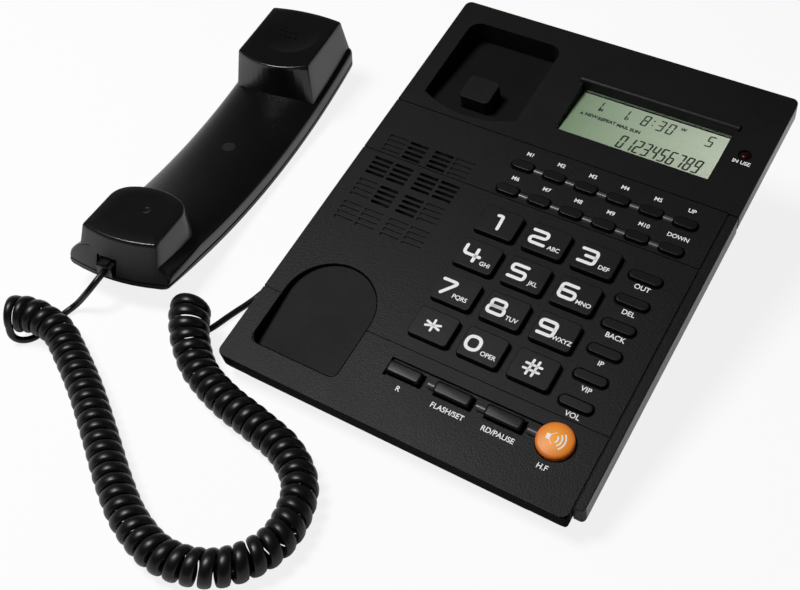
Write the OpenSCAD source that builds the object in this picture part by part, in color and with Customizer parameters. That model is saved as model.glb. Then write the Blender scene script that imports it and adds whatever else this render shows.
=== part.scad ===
// Corded desk telephone: a sloping base with push keys, a display and a handset cradle,
// and an arched handset lying on its back to the left, joined by a curly cord.
// Millimetres, +Z up, the table at Z = 0, the user at -Y.

/* [Base] */
// Width of the top plate
base_w = 161; // [157:1:170]
// Depth of the top plate along its slope
base_d = 212; // [208:1:222]
// Slope of the top plate in degrees
tilt = 15; // [13:0.5:16]
// Height of the top plate's front edge above the table
front_h = 15; // [14:0.5:20]
// Depth of the skirt round the top plate
skirt_h = 8.5; // [8:0.25:10]
// Thickness of the top plate
plate_t = 2.6; // [2.2:0.1:3]
// Wall of the moulded shells
wall = 2.4; // [1.8:0.1:2.8]
// Corner radius of the top plate
corner_r = 3; // [2:0.5:6]
// Thickness of the flange that closes the slab from below
flange_t = 2; // [1.5:0.1:2.5]
// Thickness of the bottom shell's floor
floor_t = 2.4; // [1.8:0.1:3]
// Distance from the top plate's right edge to the bottom shell
tub_right = 14; // [12:0.5:16]
// Width of the rail along the right edge
rail_w = 4.4; // [3.5:0.1:5.5]
// Height of the rubber feet below the bottom shell
foot_h = 2; // [1.5:0.1:3]
// Diameter of the rubber feet
foot_d = 14; // [10:0.5:16]

/* [Keys] */
// Width of a dialling key
key_w = 17.7; // [15:0.1:18.5]
// Depth of a dialling key
key_d = 13.6; // [11:0.1:14.4]
// Distance between key columns
key_pitch_x = 22; // [21:0.1:22.4]
// Distance between key rows
key_pitch_y = 18.2; // [17.4:0.1:18.4]
// Height of a dialling key above the plate
key_rise = 2.8; // [2:0.1:4]
// Travel of every key and button
key_travel = 1.5; // [1:0.1:1.8]
// Clearance round every key and button
key_gap = 0.35; // [0.25:0.05:0.5]

/* [Small buttons] */
// Length of a memory button
pill_l = 9.8; // [8:0.1:10.6]
// Width of a memory button
pill_w = 4.3; // [3.8:0.1:6]
// Distance between memory buttons
pill_pitch = 14.65; // [14:0.05:14.8]
// Length of a side button
side_l = 13.4; // [11:0.1:14]
// Width of a side button
side_w = 4.1; // [3.6:0.1:6]
// Distance between side buttons
side_pitch = 12.28; // [11.6:0.02:12.4]
// Height of the memory and side buttons above the plate
small_rise = 1.4; // [1:0.1:2.5]
// Length of a function bar
bar_l = 13.6; // [11:0.1:14.4]
// Width of a function bar
bar_w = 5.4; // [4.6:0.1:7]
// Diameter of the hands-free button
free_d = 15; // [12:0.1:16]
// Height of the hands-free button above the plate
free_rise = 3.2; // [2:0.1:5]

/* [Display and cradle] */
// Length of the display window
window_l = 69.5; // [66:0.5:70]
// Depth of the display window
window_d = 27.4; // [26:0.2:28]
// Thickness of the display window
window_t = 1.5; // [1.2:0.1:2]
// Width of the ear recess
ear_w = 46.5; // [44:0.5:47.5]
// Length of the ear recess
ear_l = 52.5; // [50:0.5:53]
// Depth of the ear recess at its back wall
ear_deep = 12; // [10:0.5:13]
// Width of the mouth recess
mouth_w = 41.4; // [38:0.2:42]
// Length of the mouth recess
mouth_l = 47.5; // [45:0.5:48]
// Depth of the mouth recess
mouth_deep = 9; // [7:0.25:9.5]
// Travel of the hook plunger
hook_travel = 5; // [3:0.25:5.5]
// Diameter of the loudspeaker
speaker_d = 50; // [44:1:51]

/* [Handset] */
// Width of the grip
grip_w = 49; // [47:0.5:51]
// Thickness of the grip
grip_t = 14; // [13:0.5:16]
// Radius of the arched back
arch_r = 390; // [370:5:430]
// Length from the middle to the ear end
ear_end = 93; // [92:0.5:96]
// Length from the middle to the mouth end
mouth_end = 102.5; // [101:0.5:106]
// Height of the ear cup's face at its inner edge
ear_face_h = 34.5; // [33:0.5:37]
// Height of the mouth cup's face
mouth_face_h = 32; // [31:0.5:34]
// Wall of the handset shells
hs_wall = 2; // [1.6:0.1:2.4]

/* [Cord] */
// Thickness of the cord
cord_d = 2.7; // [2.4:0.1:3]
// Outer diameter of the curls
coil_d = 14.5; // [12:0.1:15]
// Number of curls
curls = 58; // [40:1:62]

/* [Hidden] */
$fn = 64;
seat_gap = 0.3;
eps = 0.05;

// Plan of the assembly: left front corner of the base, middle of the handset
base_x = -22;
base_y = -103.55;
hs_x = -102;
hs_y = 8.55;
hs_yaw = 8.2;

// Layers under the plate, measured along its normal
lip_t = 1.4;
lip_out = 0.8;
lip_top = -plate_t - seat_gap;
lip_low = lip_top - lip_t;
switch_top = lip_low - key_travel - seat_gap;
mat_t = 1;
dome_h = 1;
board_top = switch_top - dome_h - mat_t;
board_t = 1.6;

// Rail and groove along the right edge
rail_u = base_w - rail_w;
rail_v0 = 5;
groove_w = 0.7;
groove_deep = 0.6;
line_c = 35.2;

// Display: window sloping down towards the back of the plate, its right end beside the lamp
lamp_right = 9.6;
lamp_back = 36.3;
lamp_d = 5;
lamp_u = base_w - lamp_right;
lamp_v = base_d - lamp_back;
window_to_lamp = 8.9;
window_back = 53.5;
window_u = lamp_u - window_to_lamp - window_l;
window_v = base_d - window_back;
window_w = -0.6;
window_dip = 5.8;
window_gap = 0.2;
ledge = 2;
lcd_t = 3;
display_wall = 2.2;
display_deep = 7;
lip_r = 1.8;

// Places of the keys and buttons: across between loudspeaker and rail, along from the front edge
speaker_u = 29.4;
side_from_key = 64.5;
pill_from_key = -5.4;
block_w = key_w / 2 + side_from_key + free_d / 2 + 2 * lip_out;
block_start = speaker_u + speaker_d / 2;
block_space = rail_u - wall - block_start - block_w;
block_share = 0.65994;
key_u = block_start + block_share * block_space + key_w / 2 + lip_out;
key_v = 102.3;
key_r = 1.6;
pill_u = key_u + pill_from_key;
side_u = key_u + side_from_key;
side_v = 103.4;
bar_v = 25.5;
bar_slot_w = 8.6;
bar_slot_deep = 1.6;
free_u = side_u;
free_v = 25;

// The memory rows and the two lines beside them share the free depth between keys and display
row_v0 = key_v + key_d / 2 + lip_out;
row_space = window_v - display_wall - row_v0;
row_share = [0.51724, 0.21767];
line_share = [0.77155, 0.13147];
pill_v = [for (k = row_share) row_v0 + k * row_space];
line_a = row_v0 + line_share[0] * row_space;
line_b = row_v0 + line_share[1] * row_space;

key_nodes = ["key_1", "key_2", "key_3", "key_4", "key_5", "key_6",
             "key_7", "key_8", "key_9", "key_star", "key_0", "key_hash"];
pill_nodes = ["memory_1", "memory_2", "memory_3", "memory_4", "memory_5", "up_button",
              "memory_6", "memory_7", "memory_8", "memory_9", "memory_10", "down_button"];
side_nodes = ["out_button", "delete_button", "back_button", "ip_button", "vip_button", "volume_button"];
bar_nodes = ["recall_bar", "flash_bar", "redial_bar"];
base_nodes = ["top_shell", "bottom_shell", "side_rail", "display_window", "lcd_panel", "main_board",
              "keypad_mat", "loudspeaker", "hook_switch", "line_jack", "handset_jack", "in_use_lamp",
              "rubber_feet", "case_screws", "hook_plunger", "handsfree_button"];
handset_nodes = ["handset_front", "handset_back", "earpiece", "mouthpiece", "handset_socket",
                 "handset_screw"];
cord_nodes = ["handset_plug", "handset_lead", "curly_cord", "base_lead", "base_plug"];

function key_at(i) = [key_u + (i % 3) * key_pitch_x, key_v - floor(i / 3) * key_pitch_y];
function pill_at(i) = [pill_u + (i % 6) * pill_pitch, pill_v[floor(i / 6)]];
function side_at(i) = [side_u, side_v - i * side_pitch];
function bar_at(i) = [key_u + i * key_pitch_x, bar_v];

// Bottom shell in plan, from the left front corner of the base
tub_left = 3.5;
tub_front = 5;
tub_back = 2;
tub_r = 8;
slab_low = skirt_h + flange_t;
back_y = base_d * cos(tilt);
tub_x = [tub_left, base_w - tub_right];
tub_y = [tub_front, back_y - tub_back];
tub_floor = foot_h + floor_t;

// Feet, screws and bosses in plan
foot_inset = 20;
foot_sink = 0.8;
foot_at = [for (x = [tub_x[0] + foot_inset, tub_x[1] - foot_inset - 8])
           for (y = [tub_y[0] + foot_inset - 6, tub_y[1] - foot_inset + 6]) [x, y]];
boss_d = 7;
screw_d = 3;
screw_gap = 0.05;
head_d = 5.6;
head_t = 2;
screw_l = 10;

// Ear recess: centre of the outline, slope of its floor, plunger
recess_t = 1.8;
ear_u = 32.2;
ear_back = 10.5;
ear_v1 = base_d - ear_back;
ear_v0 = ear_v1 - ear_l;
ear_shallow = ear_deep / 2;
ear_bulge_r = 48.5;
hook_u = 32;
hook_v = ear_v1 - 36.8;
hook_w = 14.8;
hook_d = 13.2;
hook_top = 0.5;
hook_lip = 1.5;
hook_low = -(ear_shallow + (ear_deep - ear_shallow) * (hook_v + hook_d - ear_v0) / ear_l + recess_t);
hook_lip_top = hook_low - seat_gap;

// Mouth recess: a straight front with a round back, floor rising at the back
mouth_u = 29.9;
mouth_v0 = 11;
mouth_v1 = mouth_v0 + mouth_l;
mouth_ramp = 15;
mouth_shallow = 1.5;

// Case screws: beside the recesses on the left, in the corners on the right
boss_left = 12;
boss_right = 11;
boss_from_mouth = 11.5;
boss_from_ear = 9.92;
boss_front = 7.5;
boss_back = 12.775;
boss_at = [[boss_left, mouth_v1 * cos(tilt) + boss_from_mouth],
           [boss_left, ear_v0 * cos(tilt) - boss_from_ear],
           [tub_x[1] - boss_right, tub_y[0] + boss_front],
           [tub_x[1] - boss_right, tub_y[1] - boss_back]];

// Loudspeaker and grille, about halfway between the two recesses
speaker_shift = -1.55;
speaker_v = (mouth_v1 + ear_v0) / 2 + speaker_shift;
magnet_d = 29;
magnet_low = 15;
cone_low = 9;
slot_l = 9;
slot_w = 1.4;
slot_pitch = 2.7;
slot_deep = 0.6;
group_u = [for (k = [-16.9, -6.3, 6.2, 16.8]) speaker_u + k];
group_v = [for (k = [19.7, 6.4, -6.6, -19.8]) speaker_v + k];
open_groups = [[0, 1, 1, 0], [1, 1, 1, 1], [0, 1, 1, 0], [0, 0, 0, 0]];

// Modular jacks and plugs
jack_wall = 1.6;
plug_gap = 0.15;
plug_w = 7.6;
plug_h = 6.6;
plug_l = 12;
plug_in = 7.5;
socket_deep = 10;
line_w = 10;
line_h = 7.4;
line_x = 75;
line_z = 17;
cord_jack_y = 54;
cord_jack_z = tub_floor + plug_h / 2 + plug_gap + jack_wall;

// Handset in its own frame: X across, Y towards the ear end
shell_split = 3.5;
side_rise = 8.8;
crown_power = 2.4;
bow_r = 60;
hs_corner = 4;
cup_foot_w = grip_w - 2;
cup_draft = 0.12;
ear_y = [42.2, 42.6, 88, 92];
ear_rise = 3;
ear_bow_r = 45;
mouth_cup_w = 38.5;
mouth_back = -59.5;
mouth_back_r = 30;
mouth_mid = -77;
mouth_face_in = 8;
mouth_low_in = 5;
mouth_low_h = 20;
earpiece_d = 30;
earpiece_h = 9.5;
earpiece_step = 2.5;
capsule_gap = 0.15;
mouthpiece_d = 12;
mouthpiece_h = 6;
socket_x = -4;
socket_back = 5;
hs_jack_wall = 1;
hs_screw_y = -1;
hs_boss_d = 8;
hs_plug_hole = 7;
hs_plug_deep = 4;

function arch_z(y, rise) = arch_r - sqrt(pow(arch_r - rise, 2) - y * y);

socket_low = arch_z(mouth_end - socket_back, 1.2);
socket_z = socket_low + plug_h / 2 + plug_gap + hs_jack_wall;

// Placing: the sloping plate, the display window, the handset
module on_base() {
    translate([base_x, base_y, front_h]) rotate([tilt, 0, 0]) children();
}

module in_plan() {
    translate([base_x, base_y, 0]) children();
}

module on_window() {
    on_base() translate([window_u, window_v, window_w]) rotate([-window_dip, 0, 0]) children();
}

module on_handset() {
    translate([hs_x, hs_y, 0]) rotate([0, 0, hs_yaw]) children();
}

// Flat outlines
module rounded(w, d, r) {
    translate([-w / 2 + r, -d / 2]) square([w - 2 * r, d]);
    translate([-w / 2, -d / 2 + r]) square([w, d - 2 * r]);
    for (x = [-1, 1], y = [-1, 1])
        translate([x * (w / 2 - r), y * (d / 2 - r)]) circle(r);
}

module pill(l, w) {
    square([l - w, w], center = true);
    for (x = [-1, 1])
        translate([x * (l - w) / 2, 0]) circle(w / 2);
}

module slab_outline(inset) {
    r = max(corner_r - inset, 0.8);
    difference() {
        translate([base_w / 2, base_d / 2])
            rounded(base_w - 2 * inset, base_d - 2 * inset, r);
        translate([rail_u - inset, -1]) square([rail_w + inset + 1, line_a + 1 + inset]);
        translate([rail_u - inset - r, inset - 1]) difference() {
            square([r + 1, r + 1]);
            translate([0, r + 1]) circle(r);
        }
    }
}

module ear_outline(grow) {
    intersection() {
        translate([ear_u, (ear_v0 + ear_v1) / 2]) rounded(ear_w + 2 * grow, ear_l + 2 * grow, 6 + grow);
        translate([ear_u, ear_v0 + ear_bulge_r]) circle(ear_bulge_r + grow, $fn = 128);
    }
}

module mouth_outline(grow) {
    r = mouth_w / 2;
    front = mouth_l - r;
    translate([mouth_u, mouth_v1 - r]) circle(r + grow);
    translate([mouth_u, mouth_v0 + front / 2 + 2]) square([mouth_w + 2 * grow, front - 4], center = true);
    translate([mouth_u, mouth_v0 + front / 2]) rounded(mouth_w + 2 * grow, front + 2 * grow, 4 + grow);
}

// Space above a recess floor, as a side outline swept across the plate
module ear_space(lower) {
    far = ear_v1 + 20;
    slope = (ear_deep - ear_shallow) / ear_l;
    low_front = -ear_shallow + 20 * slope - lower;
    low_back = -ear_deep - 20 * slope - lower;
    rotate([90, 0, 90]) linear_extrude(base_w)
        polygon([[ear_v0 - 20, low_front], [far, low_back], [far, 1 - lower], [ear_v0 - 20, 1 - lower]]);
}

module mouth_space(lower) {
    ramp0 = mouth_v1 - mouth_ramp;
    rotate([90, 0, 90]) linear_extrude(base_w)
        polygon([[mouth_v0 - 9, -mouth_deep - lower], [ramp0, -mouth_deep - lower],
                 [mouth_v1, -mouth_shallow - lower], [mouth_v1 + 9, -mouth_shallow - lower],
                 [mouth_v1 + 9, 1 - lower], [mouth_v0 - 9, 1 - lower]]);
}

module ear_tub(grow, lower) {
    intersection() {
        translate([0, 0, -30]) linear_extrude(31) ear_outline(grow);
        ear_space(lower);
    }
}

module mouth_tub(grow, lower) {
    intersection() {
        translate([0, 0, -30]) linear_extrude(31) mouth_outline(grow);
        mouth_space(lower);
    }
}

// Everything under the plate's mid thickness, for posts that grow up into it
module below_plate() {
    on_base() translate([-50, -100, -200]) cube([base_w + 100, base_d + 200, 200 - plate_t / 2]);
}

module grille_slots() {
    for (r = [0:3], c = [0:3], i = [0:3]) {
        deep = open_groups[r][c] == 1 ? plate_t + 1 : slot_deep;
        translate([group_u[c] - slot_l / 2, group_v[r] + (i - 1.5) * slot_pitch - slot_w / 2, -deep])
            cube([slot_l, slot_w, deep + 1]);
    }
}

module plate_openings() {
    hole = plate_t + 2;
    for (i = [0:11])
        translate([key_at(i)[0], key_at(i)[1], -plate_t - 1]) linear_extrude(hole)
            rounded(key_w + 2 * key_gap, key_d + 2 * key_gap, key_r + key_gap);
    for (i = [0:11])
        translate([pill_at(i)[0], pill_at(i)[1], -plate_t - 1]) linear_extrude(hole)
            pill(pill_l + 2 * key_gap, pill_w + 2 * key_gap);
    for (i = [0:5])
        translate([side_at(i)[0], side_at(i)[1], -plate_t - 1]) linear_extrude(hole)
            pill(side_l + 2 * key_gap, side_w + 2 * key_gap);
    for (i = [0:2])
        translate([bar_at(i)[0], bar_at(i)[1], -plate_t - 1]) linear_extrude(hole)
            rounded(bar_l + 2 * key_gap, bar_w + 2 * key_gap, key_r + key_gap);
    translate([free_u, free_v, -plate_t - 1]) cylinder(d = free_d + 2 * key_gap, h = hole);
    translate([lamp_u, lamp_v, -plate_t - 1]) cylinder(d = lamp_d + 2 * key_gap, h = hole);
}

// Shallow channels between the memory buttons, along the bars, and the lines across the plate
module plate_grooves() {
    for (v = pill_v)
        translate([pill_u, v - pill_w / 3, -groove_deep])
            cube([5 * pill_pitch, pill_w * 2 / 3, 1]);
    bar_start = key_u - bar_l / 2 - 2;
    translate([bar_start, bar_v - bar_slot_w / 2, -bar_slot_deep])
        cube([free_u - bar_start, bar_slot_w, bar_slot_deep + 1]);
    for (v = [line_a, line_b, line_c])
        translate([-1, v - groove_w / 2, -groove_deep]) cube([rail_u + 1, groove_w, 1]);
}

board_post_d = 2.6;
board_post_u = [key_u - 14.5, key_u + 2 * key_pitch_x + 11.4];
board_post_v = [44, 106];

module board_posts() {
    for (u = board_post_u, v = board_post_v)
        translate([u, v, board_top]) cylinder(d = board_post_d, h = -plate_t - board_top + 0.5);
}

hook_body = [12, 8, 6.5];
hook_pin = 3;
hook_pin_h = 1.5;
hook_board = [32, 18];
hook_board_top = hook_lip_top - hook_lip - hook_travel - seat_gap - hook_body[2] - hook_pin_h;
hook_post_u = [-13, 13];

module hook_posts() {
    for (u = hook_post_u)
        translate([hook_u + u, hook_v, hook_board_top])
            cylinder(d = 4, h = -hook_board_top + hook_low + recess_t + 1.5);
}

// Casing
module top_shell() {
    color([0.06, 0.06, 0.065])
    difference() {
        union() {
            on_base() difference() {
                translate([0, 0, -skirt_h]) linear_extrude(skirt_h) slab_outline(0);
                translate([0, 0, -skirt_h - 1]) linear_extrude(skirt_h - plate_t + 1) slab_outline(wall);
            }
            on_base() intersection() {
                ear_tub(recess_t, recess_t);
                translate([0, 0, -40]) cube([base_w, base_d, 39]);
            }
            on_base() intersection() {
                mouth_tub(recess_t, recess_t);
                translate([0, 0, -40]) cube([base_w, base_d, 39]);
            }
            on_base() translate([window_u - display_wall, window_v - display_wall, -display_deep])
                cube([window_l + 2 * display_wall, window_d + 2 * display_wall,
                      display_deep - plate_t / 2]);
            on_base() translate([window_u - lip_r, window_v + window_d + lip_r + window_gap, -window_gap])
                rotate([0, 90, 0]) cylinder(r = lip_r, h = window_l + 2 * lip_r);
            on_base() board_posts();
            on_base() hook_posts();
            intersection() {
                in_plan() for (p = boss_at)
                    translate([p[0], p[1], tub_floor]) cylinder(d = boss_d, h = 90);
                below_plate();
            }
        }
        on_base() ear_tub(0, 0);
        on_base() mouth_tub(0, 0);
        on_base() plate_openings();
        on_base() plate_grooves();
        on_base() grille_slots();
        on_base() translate([hook_u, hook_v, hook_low - 6]) linear_extrude(20)
            rounded(hook_w + 2 * key_gap, hook_d + 2 * key_gap, 2 + key_gap);
        on_window() translate([-window_gap, -window_gap, -window_t])
            cube([window_l + 2 * window_gap, window_d + 2 * window_gap, window_t + 12]);
        on_window() translate([ledge - window_gap, ledge - window_gap, -20])
            cube([window_l - 2 * ledge + 2 * window_gap, window_d - 2 * ledge + 2 * window_gap, 20]);
        in_plan() for (p = boss_at)
            translate([p[0], p[1], 0]) cylinder(d = screw_d + 2 * screw_gap, h = tub_floor + screw_l);
    }
}

module tub_outline(inset) {
    w = tub_x[1] - tub_x[0];
    d = tub_y[1] - tub_y[0];
    translate([(tub_x[0] + tub_x[1]) / 2, (tub_y[0] + tub_y[1]) / 2])
        rounded(w - 2 * inset, d - 2 * inset, tub_r - inset);
}

module bottom_shell() {
    color([0.05, 0.05, 0.055])
    difference() {
        union() {
            on_base() translate([0, 0, -slab_low]) linear_extrude(flange_t) slab_outline(0.5);
            intersection() {
                in_plan() translate([0, 0, foot_h]) linear_extrude(90) tub_outline(0);
                on_base() translate([0, 0, -200]) linear_extrude(200 - slab_low + eps)
                    square([base_w, base_d + 80]);
            }
        }
        in_plan() translate([0, 0, tub_floor]) linear_extrude(90) tub_outline(wall);
        in_plan() for (p = foot_at)
            translate([p[0], p[1], foot_h - 1]) cylinder(d = foot_d + 2 * seat_gap, h = 1 + foot_sink);
        in_plan() for (p = boss_at) {
            translate([p[0], p[1], 0]) cylinder(d = screw_d + 0.6, h = 20);
            translate([p[0], p[1], 0]) cylinder(d = head_d + 0.6, h = foot_h + floor_t - head_t / 2);
        }
        in_plan() translate([line_x - line_w / 2 - 0.5, tub_y[1] - wall - 1, line_z - line_h / 2 - 0.5])
            cube([line_w + 1, wall + 2, line_h + 1]);
        in_plan() translate([tub_x[0] - 1, cord_jack_y - plug_w / 2 - 0.5, cord_jack_z - plug_h / 2 - 0.5])
            cube([wall + 2, plug_w + 1, plug_h + 1]);
    }
}

module side_rail() {
    round_r = rail_w / 2 - 0.4;
    run = line_a - seat_gap - rail_v0;
    color([0.06, 0.06, 0.065])
    on_base() {
        translate([rail_u, rail_v0 + round_r, -slab_low])
            cube([rail_w, run - round_r, slab_low - groove_deep]);
        translate([rail_u, rail_v0, -slab_low]) cube([rail_w - round_r, run, slab_low - groove_deep]);
        translate([rail_u + groove_w, rail_v0 + round_r, -1.5])
            cube([rail_w - groove_w, run - round_r, 1.5]);
        translate([rail_u + groove_w, rail_v0, -1.5]) cube([rail_w - groove_w - round_r, run, 1.5]);
        translate([rail_u + rail_w - round_r, rail_v0 + round_r, -slab_low])
            cylinder(r = round_r, h = slab_low);
    }
}

module rubber_feet() {
    color([0.1, 0.1, 0.1])
    in_plan() for (p = foot_at)
        translate([p[0], p[1], 0]) cylinder(d = foot_d, h = foot_h + foot_sink);
}

module case_screws() {
    color("silver")
    in_plan() for (p = boss_at) translate([p[0], p[1], tub_floor - head_t / 2 - head_t]) {
        difference() {
            cylinder(d = head_d, h = head_t);
            translate([-head_d / 2, -0.4, -1]) cube([head_d, 0.8, 1.8]);
        }
        cylinder(d = screw_d, h = head_t / 2 + head_t + screw_l - 1);
    }
}

// Display
module display_window() {
    color([0.55, 0.65, 0.55, 0.5])
    on_window() translate([0, 0, -window_t]) cube([window_l, window_d, window_t]);
}

module lcd_panel() {
    color([0.62, 0.7, 0.58])
    on_window() translate([ledge, ledge, -window_t - lcd_t])
        cube([window_l - 2 * ledge, window_d - 2 * ledge, lcd_t]);
}

module in_use_lamp() {
    color([0.35, 0.05, 0.05])
    on_base() translate([lamp_u, lamp_v, 0]) {
        translate([0, 0, -plate_t - 5]) cylinder(d = lamp_d, h = plate_t + 4.4);
        translate([0, 0, -plate_t - 1]) cylinder(d = lamp_d + 1.6, h = 1);
        intersection() {
            translate([0, 0, -lamp_d / 2 + 0.4]) sphere(d = lamp_d);
            translate([0, 0, -0.7]) cylinder(d = lamp_d, h = 5);
        }
    }
}

// Circuit board with its switches and microphone, and the keypad mat lying on it
board_left = 12.6;
board_front = 8.5;
board_behind = 7.1;
board_u = [pill_u - board_left, tub_x[1] - wall - 1];
board_v = [bar_v - board_front, pill_v[0] + board_behind];
tact_w = 5;
chip_w = 24;
chip_h = 3;

module tact(p) {
    translate([min(p[0], board_u[1] - tact_w) - tact_w / 2, p[1] - tact_w / 2, board_top - eps])
        cube([tact_w, tact_w, switch_top - board_top + eps]);
}

module main_board() {
    color([0.1, 0.35, 0.18])
    on_base() {
        translate([board_u[0], board_v[0], board_top - board_t])
            cube([board_u[1] - board_u[0], board_v[1] - board_v[0], board_t]);
        for (i = [0:11]) tact(pill_at(i));
        for (i = [0:5]) tact(side_at(i));
        for (i = [0:2]) tact(bar_at(i));
        tact([free_u, free_v]);
        translate([key_u + key_pitch_x - 7.5, key_v - 32.3, board_top - board_t - chip_h])
            cube([chip_w, chip_w, chip_h + eps]);
        translate([board_u[0] + 8, board_v[1] - 14, board_top - board_t - 6]) cylinder(d = 9, h = 6 + eps);
    }
}

module keypad_mat() {
    margin = 0.6;
    w = 2 * key_pitch_x + key_w + 2 * margin;
    d = 3 * key_pitch_y + key_d + 2 * margin;
    color([0.75, 0.75, 0.72])
    on_base() {
        translate([key_u - key_w / 2 - margin, key_v - 3 * key_pitch_y - key_d / 2 - margin, board_top])
            cube([w, d, mat_t]);
        for (i = [0:11])
            translate([key_at(i)[0], key_at(i)[1], board_top]) cylinder(d = 8, h = mat_t + dome_h);
    }
}

module loudspeaker() {
    r = speaker_d / 2;
    color([0.25, 0.25, 0.27])
    on_base() translate([speaker_u, speaker_v, -plate_t]) rotate_extrude()
        polygon([[0, -3], [r - 6, -1.2], [r - 4, 0], [r, 0], [r, -2], [r - 5, -2.6],
                 [magnet_d / 2, -cone_low], [magnet_d / 2, -magnet_low], [0, -magnet_low]]);
}

module hook_switch() {
    color([0.15, 0.25, 0.2])
    on_base() translate([hook_u, hook_v, hook_board_top]) {
        translate([-hook_board[0] / 2, -hook_board[1] / 2, -board_t])
            cube([hook_board[0], hook_board[1], board_t]);
        translate([-hook_body[0] / 2, -hook_body[1] / 2, -eps])
            cube([hook_body[0], hook_body[1], hook_body[2] + eps]);
        translate([-hook_pin / 2, -hook_pin / 2, hook_body[2] - 0.5])
            cube([hook_pin, hook_pin, hook_pin_h + 0.5]);
    }
}

// Modular sockets: a block with an open mouth, mouth towards -X in its own frame
module socket_block(w, h, deep, t) {
    difference() {
        translate([0, -w / 2 - t, -h / 2 - t]) cube([deep + t, w + 2 * t, h + 2 * t]);
        translate([-1, -w / 2, -h / 2]) cube([deep + 1, w, h]);
    }
}

module line_jack() {
    color([0.2, 0.2, 0.2])
    in_plan() translate([line_x, tub_y[1] - wall, line_z]) rotate([0, 0, -90])
        socket_block(line_w, line_h, socket_deep + 2, jack_wall);
}

module handset_jack() {
    color([0.2, 0.2, 0.2])
    in_plan() translate([tub_x[0] + wall, cord_jack_y, cord_jack_z])
        socket_block(plug_w + 2 * plug_gap, plug_h + 2 * plug_gap, socket_deep, jack_wall);
}

// Push buttons: a cap through the plate with a lip held under it
module lipped(p, rise) {
    translate([p[0], p[1], lip_low]) linear_extrude(rise - lip_low) children(0);
    translate([p[0], p[1], lip_low]) linear_extrude(lip_t) children(1);
}

module key_cap(i) {
    color([0.05, 0.05, 0.055])
    on_base() lipped(key_at(i), key_rise) {
        rounded(key_w, key_d, key_r);
        rounded(key_w + 2 * lip_out, key_d + 2 * lip_out, key_r);
    }
}

module memory_pill(i) {
    color([0.04, 0.04, 0.045])
    on_base() lipped(pill_at(i), small_rise) {
        pill(pill_l, pill_w);
        pill(pill_l + 2 * lip_out, pill_w + 2 * lip_out);
    }
}

module side_button(i) {
    color([0.04, 0.04, 0.045])
    on_base() lipped(side_at(i), small_rise) {
        pill(side_l, side_w);
        pill(side_l + 2 * lip_out, side_w + 2 * lip_out);
    }
}

module function_bar(i) {
    color([0.04, 0.04, 0.045])
    on_base() lipped(bar_at(i), small_rise) {
        rounded(bar_l, bar_w, key_r);
        rounded(bar_l + 2 * lip_out, bar_w + 2 * lip_out, key_r);
    }
}

module handsfree_button() {
    color([0.95, 0.42, 0.08])
    on_base() lipped([free_u, free_v], free_rise) {
        circle(d = free_d);
        circle(d = free_d + 2 * lip_out);
    }
}

module hook_plunger() {
    color([0.06, 0.06, 0.065])
    on_base() translate([hook_u, hook_v, hook_lip_top - hook_lip]) {
        linear_extrude(hook_top - hook_lip_top + hook_lip) rounded(hook_w, hook_d, 2);
        linear_extrude(hook_lip) rounded(hook_w + 3, hook_d + 3, 2);
    }
}

// Handset
function arc(cx, cy, r, a0, a1, first) =
    [for (i = [first:6]) let (a = a0 + (a1 - a0) * i / 6) [cx + r * cos(a), cy + r * sin(a)]];

function hs_half(inset) =
    let (r = hs_corner - inset, g = grip_w / 2 - inset, b = bow_r - inset)
    concat(arc(0, bow_r - mouth_end, b, -90, asin(g / b) - 90, 1),
           arc(g - r, ear_end - inset - r, r, 0, 90, 0));

function flipped(p) = [for (i = [len(p) - 1:-1:0]) [-p[i][0], p[i][1]]];

module hs_outline(inset) {
    polygon(concat(hs_half(inset), flipped(hs_half(inset))));
}

// Part of the arched body between two distances from its back, inside an outline
module hs_layer(inset, low, high) {
    intersection() {
        linear_extrude(80) hs_outline(inset);
        translate([-50, 0, arch_r]) rotate([0, 90, 0]) difference() {
            cylinder(r = arch_r - low, h = 100, $fn = 360);
            translate([0, 0, -1]) cylinder(r = arch_r - high, h = 102, $fn = 360);
        }
        translate([-50, -130, 0]) cube([100, 260, 80]);
    }
}

// The arched body above a distance from its back, with straight sides and a crowned top
function crown(q) = side_rise + (grip_t - side_rise) * pow(1 - pow(abs(q), crown_power), 1 / crown_power);

module hs_body(inset, low) {
    g = grip_w / 2 - inset;
    top = [for (i = [6:-1:-6]) [arch_r - crown(sin(15 * i)) + inset, g * sin(15 * i)]];
    intersection() {
        linear_extrude(80) hs_outline(inset);
        translate([0, 0, arch_r]) rotate([0, 90, 0]) rotate_extrude($fn = 360)
            polygon(concat([[arch_r - low, -g], [arch_r - low, g]], top));
        translate([-50, -130, 0]) cube([100, 260, 80]);
    }
}

module ear_cup(inset) {
    foot = shell_split + 6;
    top = ear_face_h - inset;
    half = cup_foot_w / 2 - inset;
    intersection() {
        translate([-30, 0, 0]) rotate([90, 0, 90]) linear_extrude(60)
            polygon([[ear_y[0] + inset, foot], [ear_y[1] + inset, top],
                     [ear_y[2] - inset, top + ear_rise], [ear_y[3] - inset, foot + 10]]);
        translate([0, 100, 0]) rotate([90, 0, 0]) linear_extrude(70)
            polygon([[-half, 5], [half, 5], [half - 40 * cup_draft, 45], [40 * cup_draft - half, 45]]);
        translate([0, ear_y[0] + ear_bow_r, 0]) cylinder(r = ear_bow_r - inset, h = 60);
    }
}

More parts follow.
